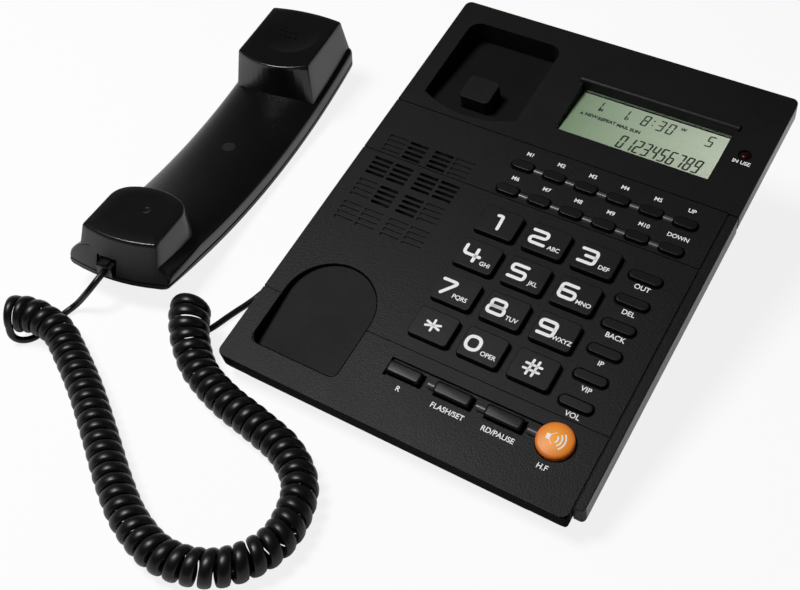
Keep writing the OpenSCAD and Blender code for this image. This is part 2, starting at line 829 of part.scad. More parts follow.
module mouth_cup(inset) {
    low = shell_split + 8;
    top = mouth_face_h - inset;
    half = mouth_cup_w / 2 - inset;
    end = inset - mouth_end;
    intersection() {
        translate([0, 0, low]) linear_extrude(top - low) intersection() {
            translate([-half, -mouth_end]) square([2 * half, mouth_end]);
            translate([0, mouth_back - mouth_back_r]) circle(mouth_back_r - inset, $fn = 96);
            hs_outline(inset);
        }
        translate([-30, 0, 0]) rotate([90, 0, 90]) linear_extrude(60)
            polygon([[end, low - 1], [end, low + 2], [end + mouth_low_in, mouth_low_h],
                     [end + mouth_face_in, top], [-40, top], [-40, low - 1]]);
    }
}

ear_mid = (ear_y[1] + ear_y[2]) / 2;
ear_slope = atan(ear_rise / (ear_y[2] - ear_y[1]));
hs_top = arch_z(hs_screw_y, grip_t);
hs_parting = arch_z(hs_screw_y, shell_split);
dish_r = 14.4;
dish_floor_r = 6;
dish_deep = 1.3;

// Room for the cord socket at the mouth end
module hs_socket_cut() {
    room = plug_w + 2 * plug_gap + 2 * hs_jack_wall + 2 * seat_gap;
    translate([socket_x - room / 2, -mouth_end - 1, socket_low])
        cube([room, 1 + socket_back + socket_deep + hs_jack_wall + seat_gap,
              plug_h + 2 * plug_gap + 2 * hs_jack_wall + seat_gap]);
}

module on_ear_face() {
    translate([0, ear_mid, ear_face_h + ear_rise / 2]) rotate([ear_slope, 0, 0]) children();
}

module handset_front() {
    color([0.03, 0.03, 0.035])
    on_handset() difference() {
        union() {
            difference() {
                union() {
                    hs_body(0, shell_split);
                    difference() {
                        union() {
                            ear_cup(0);
                            mouth_cup(0);
                        }
                        hs_below(shell_split);
                    }
                }
                hs_body(hs_wall, shell_split - 1);
                ear_cup(hs_wall);
                mouth_cup(hs_wall);
            }
            translate([0, hs_screw_y, hs_parting]) cylinder(d = hs_boss_d + 2, h = hs_top - hs_parting - 1);
        }
        translate([0, hs_screw_y, hs_top - hs_plug_deep]) cylinder(d = hs_plug_hole, h = 20);
        translate([0, hs_screw_y, 0]) cylinder(d = screw_d + 2 * screw_gap, h = 40);
        on_ear_face() translate([0, 0, -dish_deep])
            cylinder(r1 = dish_floor_r, r2 = 2 * dish_r - dish_floor_r, h = 2 * dish_deep, $fn = 96);
        on_ear_face() translate([0, 0, -8]) for (a = [0:60:300])
            rotate([0, 0, a]) translate([4, 0, 0]) cylinder(d = 1.4, h = 10);
        translate([0, mouth_mid, mouth_face_h - 5]) cylinder(d = 1.6, h = 10);
        hs_socket_cut();
    }
}

// Everything nearer the table than a distance inside the arched back
module hs_below(rise) {
    difference() {
        translate([-50, -130, -10]) cube([100, 260, 60]);
        translate([-51, 0, arch_r]) rotate([0, 90, 0]) cylinder(r = arch_r - rise, h = 102, $fn = 360);
    }
}

module handset_back() {
    color([0.03, 0.03, 0.035])
    on_handset() difference() {
        union() {
            difference() {
                hs_layer(0, 0, shell_split);
                hs_layer(hs_wall, hs_wall, shell_split + 1);
            }
            translate([0, hs_screw_y, 1]) cylinder(d = hs_boss_d, h = hs_parting - 1);
        }
        translate([0, hs_screw_y, 1]) cylinder(d = screw_d + 2 * screw_gap, h = 20);
        hs_socket_cut();
    }
}

module handset_screw() {
    color("silver")
    on_handset() translate([0, hs_screw_y, hs_top - hs_plug_deep]) {
        difference() {
            cylinder(d = head_d, h = head_t);
            translate([-head_d / 2, -0.4, head_t - 0.8]) cube([head_d, 0.8, 2]);
        }
        translate([0, 0, -hs_top + hs_plug_deep + 1.5]) cylinder(d = screw_d, h = hs_top - hs_plug_deep);
    }
}

module earpiece() {
    color([0.3, 0.3, 0.32])
    on_handset() on_ear_face() translate([0, 0, -hs_wall - capsule_gap - earpiece_h]) {
        cylinder(d = earpiece_d, h = earpiece_h - earpiece_step);
        cylinder(d = earpiece_d - 8, h = earpiece_h);
    }
}

module mouthpiece() {
    color([0.3, 0.3, 0.32])
    on_handset() translate([0, mouth_mid, mouth_face_h - hs_wall - mouthpiece_h])
        cylinder(d = mouthpiece_d, h = mouthpiece_h);
}

module handset_socket() {
    color([0.2, 0.2, 0.2])
    on_handset() translate([socket_x, socket_back - mouth_end, socket_z]) rotate([0, 0, 90])
        socket_block(plug_w + 2 * plug_gap, plug_h + 2 * plug_gap, socket_deep, hs_jack_wall);
}

// Plug with its nose along +X and its latch on top
module modular_plug() {
    difference() {
        translate([0, -plug_w / 2, -plug_h / 2]) cube([plug_l, plug_w, plug_h - 1.2]);
        translate([plug_l - 2, -plug_w / 2 + 1, plug_h / 2 - 1.8]) cube([3, plug_w - 2, 3]);
    }
    translate([0.8, -1.6, plug_h / 2 - 1.3]) cube([plug_l - 3, 3.2, 1.2]);
}

module base_plug() {
    color([0.7, 0.72, 0.74])
    in_plan() translate([tub_x[0] + wall + plug_in - plug_l, cord_jack_y, cord_jack_z]) modular_plug();
}

module handset_plug() {
    color([0.7, 0.72, 0.74])
    on_handset() translate([socket_x, socket_back - mouth_end + plug_in - plug_l, socket_z])
        rotate([0, 0, 90]) modular_plug();
}

// Cord: routes chosen by hand, in the assembly's frame
coil_route = [[-116.5, -128.55, 10.2], [-105, -122.65, 10.6], [-91.5, -124.05, 9.4], [-79.5, -130.05, 7.6],
              [-59.5, -142.05, 7.4], [-39.5, -156.05, 7.4], [-18.5, -171.05, 7.4], [-1.5, -181.05, 7.4],
              [16.5, -186.05, 7.4], [33.5, -182.05, 7.4], [44.5, -171.05, 7.4], [48.5, -156.05, 7.4],
              [42.5, -137.05, 7.4], [28.5, -126.05, 7.4], [10.5, -121.05, 7.4], [-8.5, -117.05, 7.4],
              [-26.5, -110.05, 7.4], [-40.5, -100.05, 8.2], [-49.5, -90.05, 9.6], [-53.5, -82.55, 10.4]];
coil_r = (coil_d - cord_d) / 2;
curl_half = 1.75;
curl_rings = 8;
curl_sides = 6;
lead_sides = 8;
end_turn = 0.75;

function spline(p, i, t) =
    let (n = len(p) - 1, a = p[max(i - 1, 0)], b = p[i], c = p[min(i + 1, n)], d = p[min(i + 2, n)])
    0.5 * (2 * b + t * (c - a) + t * t * (2 * a - 5 * b + 4 * c - d) + t * t * t * (3 * b - a - 3 * c + d));
function smooth(p, k) =
    concat([for (i = [0:len(p) - 2]) for (j = [0:k - 1]) spline(p, i, j / k)], [p[len(p) - 1]]);
function unit(v) = v / norm(v);
function running(p) =
    [for (i = 0, s = 0; i < len(p); s = s + norm(p[min(i + 1, len(p) - 1)] - p[i]), i = i + 1) s];

axis_pts = smooth(coil_route, 8);
axis_len = running(axis_pts);
axis_end = axis_len[len(axis_len) - 1];
axis_tab = [for (k = [0:2]) [for (i = [0:len(axis_pts) - 1]) [axis_len[i], axis_pts[i][k]]]];
function axis_at(s) = [for (k = [0:2]) lookup(s, axis_tab[k])];
function axis_dir(s) = unit(axis_at(min(s + 3, axis_end)) - axis_at(max(s - 3, 0)));
function axis_side(s) = unit(cross([0, 0, 1], axis_dir(s)));
function axis_up(s) = cross(axis_dir(s), axis_side(s));

curl_steps = curls * curl_rings + round(end_turn * curl_rings);
function curl_s(i) = axis_end * i / curl_steps;
function curl_out(i) = let (s = curl_s(i), a = 360 * i / curl_rings)
    -cos(a) * axis_side(s) + sin(a) * axis_up(s);
function curl_mid(i) = axis_at(curl_s(i)) + coil_r * curl_out(i);
function curl_dir(i) = unit(curl_mid(min(i + 1, curl_steps)) - curl_mid(max(i - 1, 0)));
end_dir = unit(curl_mid(curl_steps) - curl_mid(curl_steps - 1));
coil_start = curl_mid(0) - cord_d * [0, 0, 1];
coil_stop = curl_mid(curl_steps) + cord_d * end_dir;

function ring(mid, out, across, r_out, r_across, sides) =
    [for (k = [0:sides - 1]) let (a = 360 * k / sides)
     mid + r_out * cos(a) * out + r_across * sin(a) * across];
function curl_ring(i) = let (out = curl_out(i))
    ring(curl_mid(i), out, unit(cross(curl_dir(i), out)), cord_d / 2, curl_half, curl_sides);
first_out = curl_out(0);
last_out = curl_out(curl_steps);
stop_out = unit(last_out - (last_out * end_dir) * end_dir);
coil_rings = concat(
    [ring(coil_start, first_out, unit(cross([0, 0, 1], first_out)), cord_d / 2, curl_half, curl_sides)],
    [for (i = [0:curl_steps]) curl_ring(i)],
    [ring(coil_stop, stop_out, cross(end_dir, stop_out), cord_d / 2, curl_half, curl_sides)]);

// Least distance between points of a curl and points of the next one
curl_gap = min([for (i = [1:curl_steps - curl_rings - 1]) for (j = [curl_rings - 2:curl_rings + 2])
    if (i + j <= curl_steps + 1) min([for (a = coil_rings[i]) for (b = coil_rings[i + j]) norm(a - b)])]);

module tube(rings) {
    n = len(rings[0]);
    m = len(rings);
    sides = [for (i = [0:m - 2]) for (k = [0:n - 1]) let (a = i * n + k, b = i * n + (k + 1) % n)
             each [[a, b, b + n], [a, b + n, a + n]]];
    caps = [for (k = [1:n - 2]) each [[0, k + 1, k], [(m - 1) * n, (m - 1) * n + k, (m - 1) * n + k + 1]]];
    polyhedron([for (r = rings) each r], concat(sides, caps));
}

function sweep_dir(p, i, first, last) = i == 0 ? first : i == len(p) - 1 ? last : unit(p[i + 1] - p[i - 1]);
function sweep(p, first, last) = [for (i = [0:len(p) - 1])
    let (d = sweep_dir(p, i, first, last), ref = abs(d[2]) > 0.8 ? [1, 0, 0] : [0, 0, 1],
         a = unit(cross(d, ref)), b = cross(a, d))
    ring(p[i], a, b, cord_d / 2, cord_d / 2, lead_sides)];

function from_handset(p) = [hs_x + p[0] * cos(hs_yaw) - p[1] * sin(hs_yaw),
                            hs_y + p[0] * sin(hs_yaw) + p[1] * cos(hs_yaw), p[2]];
hs_exit = from_handset([socket_x, socket_back - mouth_end + plug_in - plug_l, socket_z - 0.6]);
hs_out = [sin(hs_yaw), -cos(hs_yaw), 0];
base_exit = [base_x + tub_x[0] + wall + plug_in - plug_l, base_y + cord_jack_y, cord_jack_z - 0.6];

lead_a = concat([hs_exit, hs_exit + 4 * hs_out],
                smooth([[-92, -105.55, 12], [-96, -108.55, 5], [-100, -111.05, 1.4], [-102.8, -116.05, 1.4],
                        [-104.3, -122.05, 1.4], [-105.5, -128.05, 1.4], [-108, -131.55, 1.6]], 3),
                [coil_start + [3, 0.4, -4.6], coil_start + [0.7, 0.1, -3.2], coil_start]);
lead_b = concat([coil_stop], smooth([coil_stop + 4 * end_dir + [0, 0, -1],
                                     [-43, -78.55, 1.4], [-39, -74.05, 1.4], [-35, -66.55, 1.4],
                                     [-32.1, -58.55, 3], [-30, -52.55, 6]], 3),
                [base_exit - [3, 0, 0], base_exit]);

module handset_lead() {
    color([0.03, 0.03, 0.03]) tube(sweep(lead_a, hs_out, [0, 0, 1]));
}

module curly_cord() {
    echo(least_curl_gap = curl_gap, curl_triangles = len(coil_rings) * curl_sides * 2);
    color([0.03, 0.03, 0.03]) tube(coil_rings);
}

module base_lead() {
    color([0.03, 0.03, 0.03]) tube(sweep(lead_b, end_dir, [1, 0, 0]));
}

top_shell();
bottom_shell();
side_rail();
display_window();
lcd_panel();
main_board();
keypad_mat();
loudspeaker();
hook_switch();
line_jack();
handset_jack();
in_use_lamp();
rubber_feet();
case_screws();
hook_plunger();
handsfree_button();
for (i = [0:11]) key_cap(i);
for (i = [0:11]) memory_pill(i);
for (i = [0:5]) side_button(i);
for (i = [0:2]) function_bar(i);
handset_front();
handset_back();
earpiece();
mouthpiece();
handset_socket();
handset_screw();
handset_plug();
handset_lead();
curly_cord();
base_lead();
base_plug();
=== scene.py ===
import bpy
import bmesh
import numpy as np
from math import sin, cos, tan, radians, pi, acos
from mathutils import Matrix, Vector


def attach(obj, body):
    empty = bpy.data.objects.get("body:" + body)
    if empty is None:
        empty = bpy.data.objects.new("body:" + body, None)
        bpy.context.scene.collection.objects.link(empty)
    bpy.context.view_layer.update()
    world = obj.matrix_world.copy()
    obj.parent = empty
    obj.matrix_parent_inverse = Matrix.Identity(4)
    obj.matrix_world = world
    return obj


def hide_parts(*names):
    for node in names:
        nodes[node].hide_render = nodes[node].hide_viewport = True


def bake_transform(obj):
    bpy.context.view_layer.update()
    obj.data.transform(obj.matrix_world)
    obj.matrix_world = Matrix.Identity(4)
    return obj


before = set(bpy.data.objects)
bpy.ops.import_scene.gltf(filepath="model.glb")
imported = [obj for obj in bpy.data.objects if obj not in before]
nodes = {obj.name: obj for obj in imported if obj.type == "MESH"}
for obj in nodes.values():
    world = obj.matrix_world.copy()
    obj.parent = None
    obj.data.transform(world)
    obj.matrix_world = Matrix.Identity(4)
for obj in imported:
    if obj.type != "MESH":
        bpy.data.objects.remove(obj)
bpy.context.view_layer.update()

scene = bpy.context.scene
scene.view_settings.view_transform = "Standard"
mm = 0.001


def shift(x, y, z):
    return Matrix.Translation((x * mm, y * mm, z * mm))


def addObject(name, data):
    made = bpy.data.objects.new(name, data)
    scene.collection.objects.link(made)
    return made


def asMesh(holder):
    # what an object comes to with its modifiers; the object itself goes
    made = bpy.data.meshes.new_from_object(holder.evaluated_get(bpy.context.evaluated_depsgraph_get()))
    bpy.data.objects.remove(holder)
    return made


class Wire:
    # a shader socket that can be used in sums
    def __init__(self, tree, socket=None):
        self.tree = tree
        self.socket = socket

    def node(self, kind, settings, links, out=0):
        made = self.tree.nodes.new("ShaderNode" + kind)
        for name, value in settings.items():
            if name == "stops":
                ramp = made.color_ramp
                while len(ramp.elements) > 1:
                    ramp.elements.remove(ramp.elements[-1])
                for i, (place, colour) in enumerate(value):
                    stop = ramp.elements[0] if i == 0 else ramp.elements.new(place)
                    stop.position = place
                    stop.color = (*colour, 1)
            else:
                setattr(made, name, value)
        for name, value in links.items():
            if isinstance(value, Wire):
                self.tree.links.new(value.socket, made.inputs[name])
            else:
                made.inputs[name].default_value = value
        return Wire(self.tree, made.outputs[out] if made.outputs else None)

    def calc(self, operation, other):
        return self.node("Math", {"operation": operation}, {0: self, 1: other})

    def __add__(self, other):
        return self.calc("ADD", other)

    def __sub__(self, other):
        return self.calc("SUBTRACT", other)

    def __mul__(self, other):
        return self.calc("MULTIPLY", other)

    def __truediv__(self, other):
        return self.calc("DIVIDE", other)


def newFinish(name):
    made = bpy.data.materials.new(name)
    made.use_nodes = True
    made.node_tree.nodes.clear()
    return made, Wire(made.node_tree)


def setShader(graph, shader):
    graph.node("OutputMaterial", {}, {"Surface": shader})


def objectPlace(graph):
    return graph.node("TexCoord", {}, {}, 3)


def setSurface(graph, paint, gloss, more={}):
    inputs = {"Base Color": paint, "Roughness": gloss, **more}
    setShader(graph, graph.node("BsdfPrincipled", {}, inputs))


def mixColour(graph, share, a, b):
    return graph.node("Mix", {"data_type": "RGBA"}, {0: share, 6: a, 7: b}, 2)


def noise(graph, where, scale, detail=2.0, rough=0.5):
    return graph.node("TexNoise", {}, {
        "Vector": where, "Scale": scale, "Detail": detail, "Roughness": rough})


moulded = {"slow": 38.0, "slowShare": 0.6, "fineShare": 0.4, "slowGloss": 0.12, "fineGloss": 0.08,
           "bump": 0.00012, "ior": 1.48}


def plastic(name, colour, rough, grain, depth, level=0.5, spread=0.15):
    # moulded plastic: a fine grain in the bump, a slow drift in colour and gloss
    made, g = newFinish(name)
    where = objectPlace(g)
    fine = noise(g, where, grain, 3.0, 0.6)
    slow = noise(g, where, moulded["slow"], 3.0, 0.55)
    dark = tuple(c * (1 - spread) for c in colour) + (1,)
    pale = tuple(min(1.0, c * (1 + spread)) for c in colour) + (1,)
    paint = mixColour(g, slow * moulded["slowShare"] + fine * moulded["fineShare"], dark, pale)
    gloss = (slow - 0.5) * moulded["slowGloss"] + (fine - 0.5) * moulded["fineGloss"] + rough
    bump = g.node("Bump", {}, {"Strength": depth, "Distance": moulded["bump"], "Height": fine})
    setSurface(g, paint, gloss, {"Normal": bump, "IOR": moulded["ior"], "Specular IOR Level": level})
    return made


def steel(name):
    # zinc plated steel with fine turning marks
    made, g = newFinish(name)
    turn = noise(g, objectPlace(g), 3000.0)
    paint = mixColour(g, turn, (0.45, 0.45, 0.47, 1), (0.62, 0.62, 0.64, 1))
    setSurface(g, paint, turn * 0.2 + 0.22, {"Metallic": 1.0})
    return made


def clearWindow(name):
    # thin hard acrylic: clear, with a surface gleam
    made, g = newFinish(name)
    haze = noise(g, objectPlace(g), 60.0)
    seen = g.node("Fresnel", {}, {"IOR": 1.32})
    through = g.node("BsdfTransparent", {}, {"Color": (0.94, 0.96, 0.93, 1)})
    gleam = g.node("BsdfGlossy", {}, {"Roughness": haze * 0.08 + 0.08})
    setShader(g, g.node("MixShader", {}, {0: seen, 1: through, 2: gleam}))
    return made


def ink(name, colour, rough=0.55):
    # printed ink: slightly uneven cover
    made, g = newFinish(name)
    cover = noise(g, objectPlace(g), 1800.0, 3.0, 0.6)
    worn = tuple(c * 0.88 for c in colour) + (1,)
    setSurface(g, mixColour(g, cover, worn, colour + (1,)), cover * 0.1 + rough - 0.05)
    return made


finish = {
    "shell_black": plastic("grainedShell", (0.006, 0.006, 0.0063), 0.44, 1500.0, 1.0, 0.14, 0.2),
    "under_black": plastic("plainShell", (0.006, 0.006, 0.0063), 0.55, 1800.0, 0.4, 0.15),
    "key_black": plastic("satinKey", (0.005, 0.005, 0.0053), 0.42, 1700.0, 0.6, 0.16),
    "button_black": plastic("smallButton", (0.004, 0.004, 0.0043), 0.34, 2200.0, 0.15, 0.2),
    "handset_black": plastic("polishedHandset", (0.0028, 0.0028, 0.003), 0.25, 900.0, 0.05, 0.6),
    "cord_black": plastic("cordPvc", (0.004, 0.004, 0.0043), 0.33, 900.0, 0.08, 0.3),
    "socket_black": plastic("socketBlack", (0.03, 0.03, 0.03), 0.4, 1500.0, 0.1),
    "board_green": plastic("boardGreen", (0.03, 0.16, 0.06), 0.4, 900.0, 0.15),
    "mat_grey": plastic("siliconeMat", (0.55, 0.55, 0.53), 0.6, 900.0, 0.2),
    "capsule_grey": plastic("capsuleGrey", (0.12, 0.12, 0.125), 0.4, 900.0, 0.2),
    "lamp_red": plastic("lampRed", (0.012, 0.0018, 0.002), 0.3, 600.0, 0.04, 0.15),
    "foot_rubber": plastic("footRubber", (0.02, 0.02, 0.02), 0.75, 1500.0, 0.5),
    "lcd_green": plastic("lcdBack", (0.36, 0.46, 0.33), 0.35, 900.0, 0.03, 0.5, 0.04),
    "plug_clear": plastic("plugSmoke", (0.010, 0.010, 0.011), 0.16, 500.0, 0.03),
    "screw_steel": steel("zincScrew"),
    "window_clear": clearWindow("clearWindow"),
    "white_ink": ink("whiteInk", (0.90, 0.90, 0.90)),
    "display_ink": ink("displayInk", (0.022, 0.030, 0.022), 0.4),
    "cover_black": plastic("coverBlack", (0.014, 0.014, 0.015), 0.42, 1400.0, 0.15, 0.2),
    # a pale grey for the right wall's sheet: painted reflection of the pale table
    "rail_side": plastic("railReflection", (0.19, 0.19, 0.192), 0.34, 900.0, 0.1, 1.0),
    "well_black": plastic("wellBlack", (0.005, 0.005, 0.0052), 0.5, 620.0, 0.35, 0.07, 0.2),
    # near-black matte for painted shade: the sheets in gaps, slots, holes, round the well and under the front
    # edge
    "hole_dark": plastic("paintedShadeBlack", (0.0015, 0.0015, 0.0015), 0.7, 900.0, 0.1, 0.02),
    # the links' paler grey: painted sheen on the same black plastic
    "neck_grey": plastic("neckPaintedSheen", (0.045, 0.045, 0.047), 0.33, 2000.0, 0.2),
}
print("finishes made:", len(finish))


camera = {"place": (0.2162, -0.33205, 0.3640), "right": (0.8493, 0.5276, -0.0210),
          "up": (-0.3595, 0.6069, 0.7088), "lens": 52.66, "sensor": 36.0, "near": 0.01}


def makeCamera(c):
    lens = bpy.data.cameras.new("photoView")
    lens.lens = c["lens"]
    lens.sensor_width = c["sensor"]
    lens.sensor_fit = "HORIZONTAL"
    lens.clip_start = c["near"]
    scene.camera = addObject("photoView", lens)
    right = Vector(c["right"]).normalized()
    up = Vector(c["up"])
    up = (up - right * up.dot(right)).normalized()
    turn = Matrix((right, up, right.cross(up))).transposed().to_4x4()
    scene.camera.matrix_world = Matrix.Translation(c["place"]) @ turn


makeCamera(camera)
print("camera set")


def unit(v):
    return v / np.linalg.norm(v)


def units(rows):
    return rows / np.linalg.norm(rows, axis=1)[:, None]


def bend(first, corner, last, steps):
    return [(1 - t) ** 2 * first + 2 * t * (1 - t) * corner + t * t * last for t in np.linspace(0, 1, steps)]


def spline(points, perSpan):
    p = np.asarray(points, float)
    n = len(p) - 1
    out = []
    for i in range(n):
        a, b, c, d = p[max(i - 1, 0)], p[i], p[i + 1], p[min(i + 2, n)]
        for j in range(perSpan):
            t = j / perSpan
            curve = t * t * (2 * a - 5 * b + 4 * c - d) + t ** 3 * (3 * b - a - 3 * c + d)
            out.append(0.5 * (2 * b + t * (c - a) + curve))
    out.append(p[-1])
    return np.array(out)


def circle(count):
    return np.linspace(0, 2 * pi, count, endpoint=False)


def along(points):
    return np.r_[0, np.cumsum(np.linalg.norm(np.diff(points, axis=0), axis=1))]


def meshFrom(name, verts, faces, smooth=True):
    mesh = bpy.data.meshes.new(name)
    mesh.from_pydata([tuple(float(x) for x in v) for v in verts], [], faces)
    mesh.update()
    if smooth:
        mesh.shade_smooth()
    return mesh


def ringFaces(rings, count, capped=True):
    # walls between the rings of a tube, and its two ends
    faces = []
    for i in range(rings - 1):
        for k in range(count):
            here, after = i * count + k, i * count + (k + 1) % count
            faces.append((here, after, after + count, here + count))
    if capped:
        faces.append(tuple(range(count - 1, -1, -1)))
        faces.append(tuple((rings - 1) * count + k for k in range(count)))
    return faces


def addPiece(name, mesh, look):
    mesh.materials.clear()
    mesh.materials.append(finish[look])
    made = addObject(name, mesh)
    return made


def addToBase(name, verts, faces, look, smooth=True):
    made = addPiece(name, meshFrom(name, verts, faces, smooth), look)
    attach(made, "base")


def addButton(name, verts, faces, slot, node):
    made = addPiece(name, meshFrom(name, verts, faces), slot)
    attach(made, node + "_body")
    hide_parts(node)


cord = {
    "thick": 0.0027, "coil": 0.0145, "curls": 58, "endTurn": 0.5, "rings": 24, "sides": 12, "oval": 0.8,
    "bandGap": 0.00018, "bandMost": 0.00255, "bandEnds": 0.0011, "wideFirst": (0.05, 0.03),
    "wideLast": (0.9, 0.05), "leadHalf": 0.00152, "easeRun": 0.014, "tuck": 0.0026,
    "startGrow": 0.12, "growFirst": (0.06, 0.04), "endGrow": 0.28, "growLast": (0.88, 0.1),
    "ahead": 0.003, "straight": 0.003, "spans": 8, "step": 0.0012, "relax": 14,
    "route": [(-115.2, -129.4, 11.2), (-104.6, -124.4, 11.2), (-91.5, -124.4, 9.4), (-79.5, -130.05, 7.6),
              (-59.5, -142.05, 7.4), (-39.5, -156.05, 7.4), (-18.5, -171.05, 7.4), (-1.5, -181.05, 7.4),
              (16.5, -186.05, 7.4), (33.5, -182.05, 7.4), (44.5, -171.05, 7.4), (48.5, -156.05, 7.4),
              (42.5, -137.05, 7.4), (28.5, -126.05, 7.4), (10.5, -121.05, 7.4), (-8.5, -117.05, 7.4),
              (-26.5, -110.05, 7.4), (-38.8, -100.6, 10.3), (-45.8, -91.8, 13.2), (-48.6, -86.1, 13.6)],
    "handsetExit": (-91.41, -92.98, 17.47), "handsetYaw": 8.2,
    "handsetRun": [(-90.9, -98.7, 16.8), (-91.6, -100.8, 15.2), (-93.2, -102, 12.8), (-96.4, -103.2, 8.4),
                   (-99.2, -104.3, 4.6), (-101, -105.6, 2.3), (-102.2, -108.2, 1.6), (-102.7, -111.4, 1.5),
                   (-102.9, -116, 1.5), (-102.6, -122, 1.5), (-102.8, -126.6, 1.5), (-103.8, -129.8, 1.5),
                   (-106, -132.1, 1.5), (-108.4, -133.6, 2.3), (-110.2, -134.8, 4.6)],
    "baseRun": [(-55.9, -89.3, 7.4), (-55, -89.8, 4.2), (-52.8, -90.7, 2.2), (-50.2, -91.4, 1.5),
                (-47, -92, 1.5), (-44, -90.6, 1.5), (-42.2, -87.4, 1.5), (-41, -83, 1.5), (-40, -77.5, 1.5),
                (-38.8, -71.9, 1.5), (-37.2, -66, 1.5), (-35.6, -60.5, 2.1), (-33.8, -56, 4),
                (-30.8, -52.2, 6.4), (-27, -50.2, 8.2)],
    "baseExit": (-20.6, -49.55, 8.85),
    "holdBase": (-0.0490, -0.0855, 0.0), "holdHandset": (-0.0907, -0.0975, 0.0),
}


def fadeIn(share, zone):
    return np.clip((share - zone[0]) / zone[1], 0, 1)


def fadeOut(share, zone):
    return np.clip((zone[0] - share) / zone[1], 0, 1)


def coilRun(c):
    # the curls: ring centres, and the way out from the coil's own middle line
    axis = spline(np.array(c["route"]) * mm, c["spans"])
    run = along(axis)
    total = run[-1]
    rings = c["rings"]
    steps = int(round((c["curls"] + c["endTurn"]) * rings))
    radius = (c["coil"] - c["thick"]) / 2

    def at(s):
        return np.array([np.interp(s, run, axis[:, k]) for k in range(3)])

    mids, outs = [], []
    for i in range(steps + 1):
        s = total * i / steps + c["tuck"] * (np.exp(-i / rings) - np.exp((i - steps) / rings))
        forward = unit(at(min(s + c["ahead"], total)) - at(max(s - c["ahead"], 0)))
        side = unit(np.cross([0, 0, 1], forward))
        up = np.cross(forward, side)
        a = 2 * pi * i / rings
        outs.append(-cos(a) * side + sin(a) * up)
        last, first = fadeIn(i / steps, c["growLast"]), fadeOut(i / steps, c["growFirst"])
        grow = 1 + c["endGrow"] * last + c["startGrow"] * first
        mids.append(at(s) + radius * grow * outs[-1])
    return np.array(mids), np.array(outs)


def wayAt(path, i):
    return unit(path[min(i + 1, len(path) - 1)] - path[max(i - 1, 0)])


def carryAcross(path, firstOut):
    # turns a sideways direction along a path without twisting it
    outs = []
    out = firstOut
    for i in range(len(path)):
        way = wayAt(path, i)
        out = unit(out - way * out.dot(way))
        outs.append(out)
    return np.array(outs)


def evenly(points, step):
    run = along(points)
    n = max(2, int(run[-1] / step))
    s = np.linspace(0, run[-1], n + 1)
    return np.stack([np.interp(s, run, points[:, k]) for k in range(3)], axis=1)


def relaxed(points, passes):
    # eases the tight spots, the two points at each end held
    for _ in range(passes):
        points[2:-2] = (points[1:-3] + 2 * points[2:-2] + points[3:-1]) / 4
    return points


def makeCord(c):
    mids, outs = coilRun(c)
    rings = c["rings"]
    yaw = radians(c["handsetYaw"])
    exitA = np.array(c["handsetExit"]) * mm
    wayA = np.array([sin(yaw), -cos(yaw), 0])
    start = mids[0] - np.array([0, 0, c["thick"]])
    stop = mids[-1] + c["thick"] * unit(mids[-1] - mids[-2])
    exitB = np.array(c["baseExit"]) * mm
    leadA = np.vstack([exitA, exitA + c["straight"] * wayA, np.array(c["handsetRun"]) * mm, start, mids[0]])
    leadB = np.vstack([mids[-1], stop, np.array(c["baseRun"]) * mm,
                       exitB - np.array([c["straight"], 0, 0]), exitB])
    pathA = relaxed(evenly(spline(leadA, c["spans"]), c["step"]), c["relax"])[:-1]
    pathB = relaxed(evenly(spline(leadB, c["spans"]), c["step"]), c["relax"])[1:]
    outA = carryAcross(np.vstack([mids[:1], pathA[::-1]]), outs[0])[1:][::-1]
    outB = carryAcross(np.vstack([mids[-1:], pathB]), outs[-1])[1:]
    path = np.vstack([pathA, mids, pathB])
    out = np.vstack([outA, outs, outB])

    # the band is as wide as its neighbours leave room for
    count = len(mids)
    gap = np.full(count, 1.0)
    apart = np.linalg.norm(mids[rings:] - mids[:-rings], axis=1)
    gap[rings:] = np.minimum(gap[rings:], apart)
    gap[:-rings] = np.minimum(gap[:-rings], apart)
    share = np.linspace(0, 1, count)
    most = c["bandMost"] + c["bandEnds"] * (fadeOut(share, c["wideFirst"]) + fadeIn(share, c["wideLast"]))
    wide = np.clip(gap / 2 - c["bandGap"], c["thick"] / 2, most)
    rampA = np.clip(1 - along(pathA[::-1]) / c["easeRun"], 0, 1)[::-1]
    rampB = np.clip(1 - along(pathB) / c["easeRun"], 0, 1)
    wideA = c["leadHalf"] + (wide[0] - c["leadHalf"]) * rampA
    wideB = c["leadHalf"] + (wide[-1] - c["leadHalf"]) * rampB
    wide = np.r_[wideA, wide, wideB]

    # a flattened oval, carried along the path
    sides = c["sides"]
    turn = circle(sides)
    flat = c["thick"] / 2 * (np.sign(np.cos(turn)) * np.abs(np.cos(turn)) ** c["oval"])
    verts = []
    for i in range(len(path)):
        way = wayAt(path, i)
        o = unit(out[i] - way * out[i].dot(way))
        verts.append(path[i] + np.outer(flat, o) + np.outer(wide[i] * np.sin(turn), np.cross(way, o)))
    mesh = meshFrom("curlyCord", np.concatenate(verts), ringFaces(len(path), sides))
    made = addPiece("curlyCord", mesh, "cord_black")
    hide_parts("handset_lead", "curly_cord", "base_lead")
    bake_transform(made)


makeCord(cord)


studio = {
    "floor": 6.0, "floorAt": -0.0002, "glow": 0.85, "mirrorGlow": 0.3,
    "lampAt": (-0.36, -0.26, 1.02), "lampAim": (-0.02, -0.02, 0.02), "lampSize": 0.4, "lampPower": 11.0,
    "sky": [(0.0, 0.4), (0.48, 0.4), (0.53, 0.5), (0.66, 0.225), (0.76, 0.03), (1.0, 0.03)], "zenith": 0.03,
    "backdrop": 0.6, "backdropFade": [(0.0, 1), (0.54, 1), (0.64, 0)],
    "sideLit": (1.1, 0.95), "sideLeast": 0.15,
}


